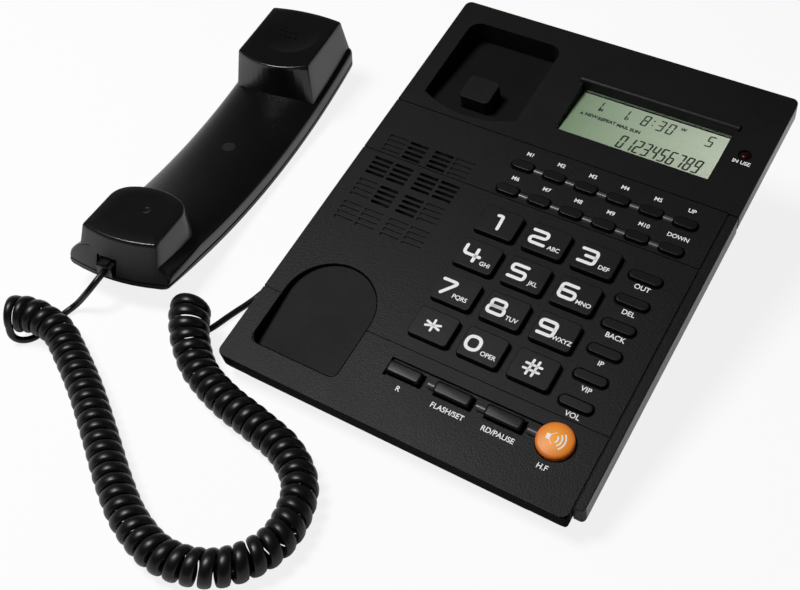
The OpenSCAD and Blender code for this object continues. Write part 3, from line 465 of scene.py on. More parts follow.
def rayKinds(g):
    # what the camera sees itself, and what it sees mirrored or through a window
    seen, mirrored, through = (g.node("LightPath", {}, {}, "Is " + kind + " Ray")
                               for kind in ("Camera", "Glossy", "Transmission"))
    return seen, mirrored + through


def makeFloor(s):
    made, g = newFinish("paleFloor")
    speck = noise(g, objectPlace(g), 4.0)
    matte = g.node("BsdfPrincipled", {}, {
        "Base Color": mixColour(g, speck, (0.90, 0.90, 0.90, 1), (0.94, 0.94, 0.94, 1)), "Roughness": 0.9})
    white = g.node("Emission", {}, {"Color": (1, 1, 1, 1), "Strength": 1.0})
    seen, indirect = rayKinds(g)
    setShader(g, g.node("MixShader", {}, {
        0: seen * s["glow"] + indirect * s["mirrorGlow"], 1: matte, 2: white}))
    half, low = s["floor"] / 2, s["floorAt"]
    corners = [(-half, -half, low), (half, -half, low), (half, half, low), (-half, half, low)]
    mesh = meshFrom("floor", corners, [(0, 1, 2, 3)], False)
    mesh.materials.append(made)
    floor = addObject("floor", mesh)


def makeLamp(s):
    data = bpy.data.lights.new("softLamp0", "AREA")
    data.shape = "DISK"
    data.size = s["lampSize"]
    data.energy = s["lampPower"]
    made = addObject("softLamp0", data)
    made.location = s["lampAt"]
    made.rotation_euler = (Vector(s["lampAim"]) - Vector(s["lampAt"])).to_track_quat("-Z", "Y").to_euler()


def makeWorld(s):
    # a dim ceiling over a pale horizon, darker on the camera side; the camera itself sees white
    world = bpy.data.worlds.new("studioWorld")
    world.use_nodes = True
    world.node_tree.nodes.clear()
    scene.world = world
    g = Wire(world.node_tree)
    way = g.node("TexCoord", {}, {}, 0)
    depth = g.node("SeparateXYZ", {}, {0: way}, 1)
    height = g.node("SeparateXYZ", {}, {0: way}, 2) * 0.5 + 0.5
    gain, base = s["sideLit"]
    lit = g.node("Math", {"operation": "MULTIPLY_ADD", "use_clamp": True},
                 {0: depth, 1: gain, 2: base})
    lit = lit * (1 - s["sideLeast"]) + s["sideLeast"]
    sky, low = (g.node("ValToRGB", {"stops": [(at, (level,) * 3) for at, level in s[name]]},
                       {0: height}) for name in ("sky", "backdropFade"))
    seen, indirect = rayKinds(g)
    dim = mixColour(g, lit, (s["zenith"],) * 3 + (1,), sky)
    colour = mixColour(g, seen + indirect * low * lit * s["backdrop"], dim, (1, 1, 1, 1))
    back = g.node("Background", {}, {"Color": colour, "Strength": 1.0})
    g.node("OutputWorld", {}, {"Surface": back})


makeFloor(studio)
makeLamp(studio)
makeWorld(studio)
print("floor and lamp set")


plate = {"left": -22.0, "front": -103.55, "height": 15.0, "slope": 15.0}
plateFrame = (shift(plate["left"], plate["front"], plate["height"])
              @ Matrix.Rotation(radians(plate["slope"]), 4, "X"))


def onPlate(u, v, w):
    return plateFrame @ shift(u, v, w)


def plateSpot(u, v, w):
    return onPlate(u, v, w).translation


def plateSpots(name):
    # a solid's corners in the plate's own frame
    turn = plateFrame.inverted() @ nodes[name].matrix_world
    return np.array([tuple(turn @ v.co) for v in nodes[name].data.vertices]) / mm


# CAD solids: finish by slot, and the moulded edges rounded
edges = {"key": 0.55, "pill": 1.0, "shell": 0.45, "rail": 0.7, "plunger": 0.8,
         "sharp": 40, "shellSharp": 55, "weld": 0.000002, "flat": 0.4, "weight": 80}
keyNames = ["key_" + sign for sign in "1 2 3 4 5 6 7 8 9 star 0 hash".split()]
memoryNames = ["memory_%d" % i for i in range(1, 11)]
pillNames = memoryNames[:5] + ["up_button"] + memoryNames[5:] + ["down_button"]
sideNames = [sign + "_button" for sign in "out delete back ip vip volume".split()]
barNames = ["recall_bar", "flash_bar", "redial_bar"]


def roundEdges(name, width, segments=3, sharp=edges["sharp"]):
    solid = nodes[name]
    bpy.context.view_layer.objects.active = solid
    if solid.data.has_custom_normals:
        bpy.ops.mesh.customdata_custom_splitnormals_clear()
    weld = solid.modifiers.new("weld", "WELD")
    weld.merge_threshold = edges["weld"]
    flat = solid.modifiers.new("flat", "DECIMATE")
    flat.decimate_type = "DISSOLVE"
    flat.angle_limit = radians(edges["flat"])
    soft = solid.modifiers.new("soft", "BEVEL")
    soft.width = width * mm
    soft.segments = segments
    soft.limit_method = "ANGLE"
    soft.angle_limit = radians(sharp)
    soft.use_clamp_overlap = True
    even = solid.modifiers.new("even", "WEIGHTED_NORMAL")
    even.keep_sharp = False
    even.weight = edges["weight"]


# the orange button has no finish here: its cap, made later, covers it
for solid in nodes.values():
    looks = solid.data.materials
    old = looks[0].name if looks else ""
    key = next((k for k in finish if old.startswith(k)), None)
    for i in range(len(looks) if key else 0):
        looks[i] = finish[key]

for name in keyNames:
    roundEdges(name, edges["key"])
for name in pillNames + sideNames:
    roundEdges(name, edges["pill"], 4)
roundEdges("side_rail", edges["rail"])
roundEdges("top_shell", edges["shell"], 2, edges["shellSharp"])
roundEdges("hook_plunger", edges["plunger"])
print("solids finished:", len(nodes))


def roundedLine(points, radius, closed=False, steps=6):
    p = [np.array(q, float) for q in points]
    n = len(p)
    out = []
    for i in range(n):
        if not closed and i in (0, n - 1):
            out.append(p[i])
            continue
        a, b, c = p[i - 1], p[i], p[(i + 1) % n]
        la, lc = np.linalg.norm(a - b), np.linalg.norm(c - b)
        half = acos(float(np.clip((a - b).dot(c - b) / (la * lc), -1, 1))) / 2
        cut = min(radius / max(tan(half), 0.01), 0.49 * la, 0.49 * lc)
        first, last = b + (a - b) / la * cut, b + (c - b) / lc * cut
        out += bend(first, b, last, steps)
    return np.array(out)


def ribbon(line, width, closed=False):
    # flat stroke with round ends, in the plane
    n = len(line)
    before = np.roll(line, 1, axis=0)
    after = np.roll(line, -1, axis=0)
    if not closed:
        before[0], after[-1] = line[0], line[-1]
    way = units(after - before)
    side = np.stack([-way[:, 1], way[:, 0]], axis=1) * width / 2
    verts = [tuple(v) for pair in zip(line + side, line - side) for v in pair]
    spans = n if closed else n - 1
    faces = [(2 * i, 2 * i + 1, (2 * i + 3) % (2 * n), (2 * i + 2) % (2 * n)) for i in range(spans)]
    if not closed:
        for end, sign in ((0, -1), (n - 1, 1)):
            first = len(verts)
            across = side[end]
            forward = way[end] * sign * width / 2
            fan = [line[end] + across * cos(a) * -sign + forward * sin(a) for a in np.linspace(0, pi, 8)]
            verts += [tuple(v) for v in fan]
            faces.append(tuple(range(first, first + len(fan))))
    return verts, faces


def lettering(text, size, bold):
    # plain letters as a flat mesh in the plane, centred on its origin
    curve = bpy.data.curves.new("word", "FONT")
    curve.body = text
    curve.size = size * mm
    curve.offset = bold * mm
    curve.align_x = "CENTER"
    curve.align_y = "CENTER"
    made = asMesh(addObject("word", curve))
    bpy.data.curves.remove(curve)
    return made


class Sheet:
    # gathers flat shapes into one mesh: ink, and sheets of painted shade
    def __init__(self, name):
        self.name = name
        self.cells = bmesh.new()

    def add(self, verts, faces, where, height=lambda x, y: 0.0):
        made = [self.cells.verts.new(where @ Vector((x * mm, y * mm, height(x, y) * mm))) for x, y in verts]
        for face in faces:
            self.cells.faces.new([made[i] for i in face])

    def addMesh(self, mesh, where):
        mesh.transform(where)
        self.cells.from_mesh(mesh)
        bpy.data.meshes.remove(mesh)

    def done(self, look, body):
        up = plateFrame.to_3x3() @ Vector((0, 0, 1))
        bmesh.ops.remove_doubles(self.cells, verts=self.cells.verts[:], dist=1e-7)
        for face in self.cells.faces:
            face.normal_update()
            if face.normal.dot(up) < 0:
                face.normal_flip()
        mesh = bpy.data.meshes.new(self.name)
        self.cells.to_mesh(mesh)
        self.cells.free()
        made = addPiece(self.name, mesh, look)
        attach(made, body)


keypad = {"left": 75.5, "back": 102.3, "across": 22.0, "down": 18.2, "rise": 2.8, "lift": 0.03,
          "stroke": 1.45, "signShare": 0.72, "closed": ("8", "0"),
          "letterSize": 2.75, "letterBold": 0.05, "letterAt": -3.0}
digitLines = {
    "1": [([(-1.5, 3.0), (0.5, 3.3), (0.8, -3.3)], 0.9)],
    "2": [([(-6.8, 3.0), (-0.2, 3.0), (-0.2, 0.1), (-6.8, -0.3), (-6.8, -3.1), (-0.2, -3.1)], 1.5)],
    "3": [([(-6.8, 3.0), (-0.2, 3.0), (-0.2, -3.1), (-6.8, -3.1)], 1.5), ([(-4.6, 0.0), (-0.5, 0.0)], 1.0)],
    "4": [([(-6.2, 3.2), (-6.2, -0.7), (1.0, -0.7)], 1.5), ([(-0.9, 2.6), (-0.9, -3.3)], 1.0)],
    "5": [([(-0.3, 3.0), (-6.7, 3.0), (-6.7, 0.1), (-0.1, 0.1), (-0.1, -3.1), (-6.8, -3.1)], 1.4)],
    "6": [([(-0.5, 3.0), (-6.7, 3.0), (-6.7, -3.1), (-0.1, -3.1), (-0.1, 0.1), (-6.2, 0.1)], 1.6)],
    "7": [([(-6.8, 3.0), (-0.2, 3.0), (-5.4, -3.4)], 0.9)],
    "8": [([(-6.3, 3.0), (-0.3, 3.0), (-0.3, 0.0), (-6.3, 0.0)], 1.5),
          ([(-6.8, 0.0), (0.2, 0.0), (0.2, -3.1), (-6.8, -3.1)], 1.5)],
    "9": [([(-6.3, -3.1), (-0.1, -3.1), (-0.1, 3.0), (-6.7, 3.0), (-6.7, -0.1), (-0.7, -0.1)], 1.6)],
    "0": [([(-6.9, 2.7), (-1.1, 2.7), (-1.1, -3.2), (-6.9, -3.2)], 2.9)],
    "star": [([(-3.3, 0.9), (2.7, -1.1)], 1.0), ([(2.7, 0.9), (-3.3, -1.1)], 1.0),
             ([(-0.3, 2.4), (-0.3, -2.6)], 1.0)],
    "hash": [([(-3.6, 1.2), (3.0, 1.2)], 1.0), ([(-3.8, -1.2), (2.8, -1.2)], 1.0),
             ([(-1.2, 3.3), (-1.8, -3.3)], 1.0), ([(1.2, 3.3), (0.6, -3.3)], 1.0)],
}
keyLetters = {"2": ("ABC", 4.4), "3": ("DEF", 4.4), "4": ("GHI", 4.6), "5": ("JKL", 4.4), "6": ("MNO", 4.4),
              "7": ("PQRS", 3.1), "8": ("TUV", 4.4), "9": ("WXYZ", 4.2), "0": ("OPER", 3.8)}


def printKeys(k):
    for i, name in enumerate(keyNames):
        sign = name.split("_")[1]
        u = k["left"] + (i % 3) * k["across"]
        v = k["back"] - (i // 3) * k["down"]
        where = onPlate(u, v, k["rise"] + k["lift"])
        sheet = Sheet("print_" + name)
        width = k["stroke"] * (k["signShare"] if sign in ("star", "hash") else 1.0)
        closed = sign in k["closed"]
        for points, radius in digitLines[sign]:
            sheet.add(*ribbon(roundedLine(points, radius, closed), width, closed), where)
        if sign in keyLetters:
            text, x = keyLetters[sign]
            word = lettering(text, k["letterSize"], k["letterBold"])
            sheet.addMesh(word, where @ shift(x, k["letterAt"], 0))
        sheet.done("white_ink", name + "_body")


printKeys(keypad)
print("keys printed")


plateWords = {
    "size": 2.75, "bold": 0.05, "lift": 0.03,
    "rowLeft": 70.1, "rowStep": 14.65, "rowBack": 140.8, "rowFront": 126.8,
    "back": ["M1", "M2", "M3", "M4", "M5", "UP"], "front": ["M6", "M7", "M8", "M9", "M10", "DOWN"],
    "side": [("OUT", 98.9), ("DEL", 86.2), ("BACK", 74.3), ("IP", 61.6), ("VIP", 49.3), ("VOL", 37.5)],
    "sideAt": 140.6, "sideSize": 1.14,
    "bars": [("R", 75.7), ("FLASH/SET", 97.7), ("RD/PAUSE", 119.4)], "barsAt": 18.2, "barSize": 1.13,
    "free": ("H.F", 140.0, 14.1, 1.15), "lamp": ("IN USE", 151.4, 171.6, 0.94),
}


def printPlate(w):
    sheet = Sheet("print_plate")

    def put(text, u, v, size=1.0):
        sheet.addMesh(lettering(text, w["size"] * size, w["bold"]), onPlate(u, v, w["lift"]))

    for i in range(6):
        put(w["back"][i], w["rowLeft"] + i * w["rowStep"], w["rowBack"])
        put(w["front"][i], w["rowLeft"] + i * w["rowStep"], w["rowFront"])
    for text, v in w["side"]:
        put(text, w["sideAt"], v, w["sideSize"])
    for text, u in w["bars"]:
        put(text, u, w["barsAt"], w["barSize"])
    put(*w["free"])
    put(*w["lamp"])
    sheet.done("white_ink", "base")


printPlate(plateWords)
print("plate printed")


display = {
    "u": 73.0, "v": 158.5, "w": -0.6, "dip": 5.8, "face": (0.6, 0.4, 68.9, 27.0), "depth": 1.45, "lift": 0.03,
    "dark": (0.15, 0.24, 0.135, 1), "pale": (0.68, 0.72, 0.62, 1), "fade": 0.069, "fadeShare": 0.75,
    "slant": 0.13, "wide": 0.5, "wideMost": 3.0, "bar": 0.1, "gap": 0.18,
    "top": [("1", 8.4, 18.9, 6.0), ("1", 20.9, 18.8, 6.0), ("8", 30.6, 18.6, 6.6), ("3", 37.7, 18.4, 6.6),
            ("0", 42.2, 18.4, 6.6), ("5", 59.9, 18.6, 6.6)],
    "number": ("0123456789", 26.4, 3.78, 2.2, 8.0),
    "words": [("NEW", 9.8, 14.9, 2.5), ("REPEAT", 17.3, 14.7, 2.5), ("MAIL", 24.9, 14.4, 2.5),
              ("SUN", 30.8, 14.2, 2.5), ("M", 12.2, 19.8, 2.3), ("D", 24.4, 19.5, 2.3),
              ("W", 49.1, 23.6, 2.3)],
    "wordBold": 0.11, "bell": [(4.5, 14.1), (6.1, 14.1), (5.4, 15.8)],
    "colon": [(35.6, 0.0), (36.3, 0.0), (36.4, 0.7), (35.7, 0.7)], "colonAt": (20.3, 22.9),
}
segmentSets = {"0": "abcdef", "1": "bc", "2": "abged", "3": "abgcd", "4": "fgbc", "5": "afgcd", "6": "afgedc",
               "7": "abc", "8": "abcdefg", "9": "abcdfg"}


def segmentDigit(d, sign, x, y, tall):
    # one seven-segment figure, leaning a little
    wide, bar = min(tall * d["wide"], d["wideMost"]), tall * d["bar"]
    gap, half, b = bar * d["gap"], tall / 2, bar / 2
    across = {"a": tall - b, "g": half, "d": b}
    upright = {"f": (b, half), "b": (wide - b, half), "e": (b, 0), "c": (wide - b, 0)}
    shapes = []
    for s in segmentSets[sign]:
        if s in across:
            m, first, last = across[s], gap, wide - gap
            shapes.append([(first + b, m - b), (first, m), (first + b, m + b),
                           (last - b, m + b), (last, m), (last - b, m - b)])
        else:
            m, low = upright[s]
            first, last = low + gap, low + half - gap
            shapes.append([(m, first), (m - b, first + b), (m - b, last - b),
                           (m, last), (m + b, last - b), (m + b, first + b)])
    return [[(x + px + d["slant"] * py, y + py) for px, py in shape] for shape in shapes]


def lcdFace(name, d):
    # the panel's grey green, paler towards its right end, slightly uneven
    made, g = newFinish(name)
    where = objectPlace(g)
    left = (plate["left"] + d["u"]) * mm
    reach = (g.node("SeparateXYZ", {}, {0: where}) - left) / d["fade"]
    weave = noise(g, where, 900.0)
    drift = noise(g, where, 14.0)
    paint = mixColour(g, reach * d["fadeShare"] + drift * 0.2 + weave * 0.1, d["dark"], d["pale"])
    setSurface(g, paint, weave * 0.1 + 0.4)
    return made


finish["lcd_face"] = lcdFace("lcdFace", display)


def makeDisplay(d):
    frameAt = onPlate(d["u"], d["v"], d["w"]) @ Matrix.Rotation(radians(-d["dip"]), 4, "X")
    x0, y0, x1, y1 = d["face"]
    face = Sheet("lcdSheet")
    at = frameAt @ shift(0, 0, -d["depth"])
    face.add([(x0, y0), (x1, y0), (x1, y1), (x0, y1)], [(0, 1, 2, 3)], at)
    face.done("lcd_face", "base")
    marks = Sheet("lcdMarks")
    at = frameAt @ shift(0, 0, d["lift"] - d["depth"])
    text, left, step, low, tall = d["number"]
    for figure in d["top"] + [(sign, left + i * step, low, tall) for i, sign in enumerate(text)]:
        for shape in segmentDigit(d, *figure):
            marks.add(shape, [tuple(range(6))], at)
    for y in d["colonAt"]:
        marks.add([(x, y + rise) for x, rise in d["colon"]], [(0, 1, 2, 3)], at)
    for word, x, y, size in d["words"]:
        marks.addMesh(lettering(word, size, d["wordBold"]), at @ shift(x, y, 0))
    marks.add(d["bell"], [(0, 1, 2)], at)
    marks.done("display_ink", "base")


makeDisplay(display)
print("display made")


well = {"u": 29.9, "front": 11.0, "back": 58.5, "half": 20.7, "low": (-5.6, -0.9), "corner": 4.0,
        "inset": 0.25, "line": 0.42, "lift": 0.03}


def wellOutline(w, inset):
    # straight sides with small front corners and a half-round back
    half = w["half"] - inset
    middle, front = w["back"] - w["half"], w["front"] + inset
    line = roundedLine([(-half, middle), (-half, front), (half, front), (half, middle)], w["corner"])
    back = [(half * cos(a), middle + half * sin(a)) for a in np.linspace(0, pi, 33)[1:-1]]
    return np.vstack([line, back]) + np.array([w["u"], 0])


def makeWell(w):
    # the mouth recess: its sloping floor, and a dark line of painted shade round its edge
    line = wellOutline(w, w["inset"])
    depth = np.interp(line[:, 1], [w["front"], w["back"]], w["low"])
    verts = [plateSpot(u, v, low) for (u, v), low in zip(line, depth)]
    addToBase("mouthWellFloor", verts, [tuple(range(len(line)))], "well_black", False)
    sheet = Sheet("wellEdgeShade")
    sheet.add(*ribbon(wellOutline(w, -w["line"] / 2), w["line"], True), onPlate(0, 0, w["lift"]))
    sheet.done("hole_dark", "base")


makeWell(well)
print("mouth well made")


skirtShade = {"corner": 3.0, "out": 0.06, "top": -0.7, "low": -8.4, "back": 14.0, "near": 0.02}


def makeSkirtShade(k):
    # painted shade: a matte black band over the front face under the plate's edge, which also hides the pale
    # floor's reflection there
    spots = plateSpots("top_shell")
    first, last = spots[:, 0].min(), spots[spots[:, 1] < k["near"], 0].max() + k["corner"]
    line = [(first, k["back"]), (first, 0.0), (last, 0.0), (last, k["corner"])]
    line = roundedLine(line, k["corner"], False, 8)
    way = np.gradient(line, axis=0)
    line = line + k["out"] * units(np.stack([way[:, 1], -way[:, 0]], axis=1))
    verts = [plateSpot(u, v, w) for w in (k["top"], k["low"]) for u, v in line]
    n = len(line)
    faces = [(i, n + i, n + i + 1, i + 1) for i in range(n - 1)]
    addToBase("frontSkirtShade", verts, faces, "hole_dark")


makeSkirtShade(skirtShade)
print("front skirt made")


railReflection = {"out": 0.05, "end": 0.7, "top": 0.75, "low": 0.3, "near": 0.04}


def makeRailReflection(k):
    # a pale grey sheet over the outer right wall, rail and shell: painted reflection of the pale table
    verts, faces = [], []
    for name in ("side_rail", "top_shell"):
        spots = plateSpots(name)
        right = spots[:, 0].max()
        wall = spots[spots[:, 0] > right - k["near"]]
        (front, low), (back, top) = wall[:, 1:].min(axis=0), wall[:, 1:].max(axis=0)
        front, back, low, top = front + k["end"], back - k["end"], low + k["low"], top - k["top"]
        for v, w in ((front, low), (back, low), (back, top), (front, top)):
            verts.append(plateSpot(right + k["out"], v, w))
        faces.append(tuple(range(len(verts) - 4, len(verts))))
    addToBase("railWallReflection", verts, faces, "rail_side", False)


makeRailReflection(railReflection)
print("side wall made")


bars = {"from": (67.1, 88.3, 110.5), "to": (82.2, 104.4, 126.4), "at": 25.5, "half": 2.75, "low": -0.05,
        "top": 1.4, "edge": 1.0, "edgeTurns": (25, 50, 75, 90), "corner": 1.2,
        "shadeAt": -1.585, "shadeOver": 0.7, "shadeHalf": 3.1}


def makeBars(b):
    # long function bars with soft upper edges, over a dark sheet in their slot: painted shade, which also
    # hides the holes below
    shade = Sheet("barShade")
    rings = [(0.0, b["low"]), (0.0, b["top"] - b["edge"])]
    for a in b["edgeTurns"]:
        rings.append((b["edge"] * (1 - cos(radians(a))), b["top"] - b["edge"] * (1 - sin(radians(a)))))
    for name, first, last in zip(barNames, b["from"], b["to"]):
        verts = []
        for inset, w in rings:
            x0, x1, y = first + inset, last - inset, b["half"] - inset
            line = roundedLine([(x0, -y), (x1, -y), (x1, y), (x0, y)], b["corner"], True, 5)
            verts += [plateSpot(u, b["at"] + v, w) for u, v in line]
        addButton("long_" + name, verts, ringFaces(len(rings), len(line)), "button_black", name)
        low, high, end = b["at"] - b["shadeHalf"], b["at"] + b["shadeHalf"], last + b["shadeOver"]
        corners = [(first, low), (end, low), (end, high), (first, high)]
        shade.add(corners, [(0, 1, 2, 3)], onPlate(0, 0, b["shadeAt"]))
    shade.done("hole_dark", "base")


makeBars(bars)
print("function bars made")


def footprint(name, over=0.1):
    # middle and half size of a button where it stands over the plate
    spots = plateSpots(name)
    spots = spots[spots[:, 2] > over]
    low, high = spots.min(axis=0), spots.max(axis=0)
    return (low + high) / 2, (high - low) / 2


gapShade = {"reach": 0.85, "lift": 0.03}


def makeGapShade(g):
    # painted shade: a dark line round each small button, for the shadow in its sunken gap
    sheet = Sheet("buttonGapShade")
    for name in pillNames + sideNames:
        middle, half = footprint(name)
        short, long = half[1], half[0]
        turn = np.linspace(-pi / 2, pi / 2, 13)
        line = [(long - short + short * cos(a), short * sin(a)) for a in turn]
        line = np.array(line + [(-x, -y) for x, y in line])
        size = 1 + g["reach"] / 2 / half[:2]
        sheet.add(*ribbon(line * size, g["reach"], True), onPlate(middle[0], middle[1], g["lift"]))
    sheet.done("hole_dark", "base")


makeGapShade(gapShade)
print("button gaps made")


necks = {"rowHalf": 2.0, "radius": 1.55, "drop": 1.1, "cut": 0.12,
         "bars": ((86.8, 1.5), (108.5, 1.9), (130.4, 2.0)), "barsAt": 25.5}


def makeNecks(k):
    # short round links between the buttons of a row; their paler grey is painted sheen
    turn = np.linspace(k["cut"], pi - k["cut"], 9)
    n = len(turn)
    verts, faces = [], []
    spots = [footprint(name)[0] for name in pillNames]
    pairs = [pair for row in (spots[:6], spots[6:]) for pair in zip(row, row[1:])]
    links = [((a[0] + b[0]) / 2, a[1], k["rowHalf"]) for a, b in pairs]
    links += [(u, k["barsAt"], half) for u, half in k["bars"]]
    for u, v, half in links:
        first = len(verts)
        for x in (u - half, u + half):
            verts += [plateSpot(x, v + k["radius"] * cos(a), k["radius"] * sin(a) - k["drop"]) for a in turn]
        faces += [(i, n + i, n + i + 1, i + 1) for i in range(first, first + n - 1)]
    addToBase("buttonLinks", verts, faces, "neck_grey")


makeNecks(necks)
print("button links made")


handsFree = {"u": 140.0, "v": 25.0, "radius": 7.5, "top": 3.2, "dome": 0.55, "edge": 1.3, "edgeTurn": 80,
             "low": -1.4, "lift": 0.03, "shares": (0.97, 0.85, 0.7, 0.5, 0.3, 0.1, 0.01),
             # pale is the painted highlight in the cap's middle, deep the painted shade at its rim
             "pale": (0.97, 0.38, 0.045, 1), "deep": (0.66, 0.135, 0.016, 1),
             "speaker": [(-3.6, -1.1), (-2.2, -1.1), (-0.4, -2.7), (-0.4, 2.7), (-2.2, 1.1), (-3.6, 1.1)],
             "waves": ((1.7, 40), (3.2, 42), (4.6, 42)), "waveAt": -0.6, "waveWidth": 0.6}


def orangeCapPaintedLight(name, h):
    # orange plastic with painted light: paler in the middle as a painted highlight, deeper towards its rim as
    # painted shade
    made, g = newFinish(name)
    where = objectPlace(g)
    middle = tuple(plateSpot(h["u"], h["v"], h["top"]))
    out = g.node("VectorMath", {"operation": "DISTANCE"}, {0: where, 1: middle}, 1)
    out = out / (h["radius"] * mm)
    fine = noise(g, where, 1500.0)
    paint = mixColour(g, out * out * 0.9 + (fine - 0.5) * 0.1, h["pale"], h["deep"])
    setSurface(g, paint, fine * 0.08 + 0.32, {"Specular IOR Level": 0.2})
    return made


finish["button_orange"] = orangeCapPaintedLight("orangeCapPaintedLight", handsFree)


def domeAt(h, x, y):
    flat = h["radius"] - h["edge"]
    return h["top"] - h["dome"] * (x * x + y * y) / flat ** 2


def makeHandsFree(h):
    turn = circle(64)
    flat = h["radius"] - h["edge"]
    brim = h["top"] - h["dome"] - h["edge"]
    line = [(h["radius"], h["low"])]
    rise = np.linspace(0, radians(h["edgeTurn"]), 7)
    line += [(flat + h["edge"] * cos(a), brim + h["edge"] * sin(a)) for a in rise]
    line += [(flat * k, domeAt(h, flat * k, 0)) for k in h["shares"]]
    verts = [plateSpot(h["u"] + r * cos(a), h["v"] + r * sin(a), w) for r, w in line for a in turn]
    addButton("handsfreeCap", verts, ringFaces(len(line), len(turn)), "button_orange", "handsfree_button")


def printHandsFree(h):
    # a small loudspeaker with sound waves
    where = onPlate(h["u"], h["v"], h["lift"])
    sheet = Sheet("print_handsfree")

    def dome(x, y):
        return domeAt(h, x, y)

    sheet.add(h["speaker"], [(0, 1, 4, 5), (1, 2, 3, 4)], where, dome)
    for radius, reach in h["waves"]:
        turn = np.linspace(-radians(reach), radians(reach), 12)
        arc = np.array([(h["waveAt"] + radius * cos(a), radius * sin(a)) for a in turn])
        sheet.add(*ribbon(arc, h["waveWidth"]), where, dome)
    sheet.done("white_ink", "handsfree_button_body")


makeHandsFree(handsFree)
printHandsFree(handsFree)
print("hands-free button printed")


handset = {
    "x": -102.0, "y": 8.55, "yaw": 8.2, "arch": 390.0, "half": 24.5,
    "earEnd": 93.0, "mouthEnd": -102.5, "earEndBow": 1.5, "lean": 0.42, "earCorner": 4.0, "mouthCorner": 1.2,
    "flare": (1.8, 0.3), "flareBow": (78.0, 60.0), "flareDrop": 4.4, "flarePower": 1.5, "splitDrop": 1.3,
    "pullZone": (-40, 62.5), "tipZone": (-72, 30.5), "farZone": (60, 33), "shrink": (0.0, 0.23, 0.47, 0.74),
    "split": 3.5, "gap": 0.22, "side": 8.8, "top": 14.0, "footRise": 5.4,
    "crown": (0.985, 0.965, 0.93, 0.88, 0.8, 0.7, 0.58, 0.44, 0.3, 0.15, 0.0), "crownPowers": (2.2, 0.667, 5),
    "earFront": (46.4, 48.7), "earBack": (92.0, 87.4), "earHalf": (22.7, 19.7), "earBow": (3.7, 6.2),
    "earBackBow": (1.2, 2.1), "earRound": 1.3, "earFace": (34.6, 37.6), "dish": (0.5, 69.0, 14.5, 0.8),
    "mouthFront": (-97.1, -92.0), "mouthHalf": (20.5, 18.5), "mouthBow": (3.2, 2.8),
    "mouthBack": (-57.4, -59.3), "mouthBend": 30.0, "mouthTurn": (5.5, 5), "mouthRound": 0.9,
    "mouthFace": 32.2, "mouthMark": (2.5, -73.8, 2.0, 0.3), "cupEdge": 0.7, "cupTop": 0.965, "sharp": 32,
    "room": ((-9.25, -106.0, 13.3), (1.25, -86.0, 22.9)),
}
handsetFrame = shift(handset["x"], handset["y"], 0) @ Matrix.Rotation(radians(handset["yaw"]), 4, "Z")


def archZ(h, y, rise):
    return h["arch"] - np.sqrt((h["arch"] - rise) ** 2 - y * y)


def placed(verts):
    return [handsetFrame @ Vector((float(x) * mm, float(y) * mm, float(z) * mm)) for x, y, z in verts]


def gripStations(h):
    # places along the handset, closer together at its ends
    ear, mouth = h["earEnd"], h["mouthEnd"]
    ends = 1 - np.cos(np.linspace(0, pi / 2, 9))
    first = mouth + ends * h["mouthCorner"]
    last = ear - ends[::-1] * h["earCorner"]
    return np.r_[first, np.linspace(first[-1], last[0], 60)[1:-1], last]


def endInset(h, s):
    # how far the plan's round corners draw the sides in
    e, r = s - (h["earEnd"] - h["earCorner"]), h["earCorner"]
    if e > 0:
        return r - np.sqrt(max(r * r - e * e, 0))
    e, r = (h["mouthEnd"] + h["mouthCorner"]) - s, h["mouthCorner"]
    return r - np.sqrt(max(r * r - e * e, 0)) if e > 0 else 0.0


def gripShell(h, section):
    # a run of cross-sections along the arched body, its mouth end bowed and leaning back
    stations = gripStations(h)
    runs = [(stations[0], f) for f in h["shrink"]] + [(s, 1.0) for s in stations]
    runs += [(stations[-1], f) for f in h["shrink"][::-1]]
    verts, count = [], 0
    for s, part in runs:
        inset = endInset(h, s)
        pull, tip, far = fadeOut(s, h["pullZone"]), fadeOut(s, h["tipZone"]), fadeIn(s, h["farZone"])
        half = section(h["half"] - inset, inset, tip)
        ring = half + [(-x, r) for x, r in half[::-1] if x > 1e-6]
        for x, rise in ring:
            side = 0 if x < 0 else 1
            x = x * part * (1 + h["flare"][side] / h["half"] * tip ** h["flarePower"])
            bow = h["flareBow"][side]
            y = s + pull * (bow - np.sqrt(bow ** 2 - x * x)) + tip * h["lean"] * rise
            y -= far * h["earEndBow"] * (x / h["half"]) ** 2
            verts.append((x, y, archZ(h, y, rise)))
        count = len(ring)
    return verts, ringFaces(len(runs), count, False)


def frontSection(h):
    # half of the front shell's cross-section, from the split line up to the crown
    def section(half, inset, tip):
        base = h["split"] - h["splitDrop"] * tip + h["gap"]
        drop = min(inset * 0.35, 1.2)
        side, top = h["side"] - drop, h["top"] - drop
        low = h["flareDrop"] * tip
        edge = side - low
        out = [(half - 0.25, base), (half, base + 0.3), (half, (base + edge) / 2), (half, edge - 0.5),
               (half - 0.12, edge)]
        p, power, fall = h["crownPowers"]
        for q in h["crown"]:
            out.append((half * q, side + (top - side) * (1 - q ** p) ** power - low * q ** fall))
        return out
    return section


def backSection(h):
    # half of the back shell's cross-section, from the split line down to its middle
    def section(half, inset, tip):
        top = h["split"] - h["splitDrop"] * tip - h["gap"]
        drop = min(inset * 0.3, 1.0)
        wall, turn = min(1.6 + drop, top - 0.55), min(0.75 + drop, top - 0.8)
        return [(half - 0.25, top), (half, top - 0.3), (half, wall), (half - 0.35, turn),
                (half - 1.1, 0.2 + drop), (half - 2.4, drop), (half * 0.6, drop + 0.12),
                (half * 0.3, drop + 0.2), (0.0, drop + 0.25)]
    return section


def between(pair, k):
    return pair[0] + (pair[1] - pair[0]) * k


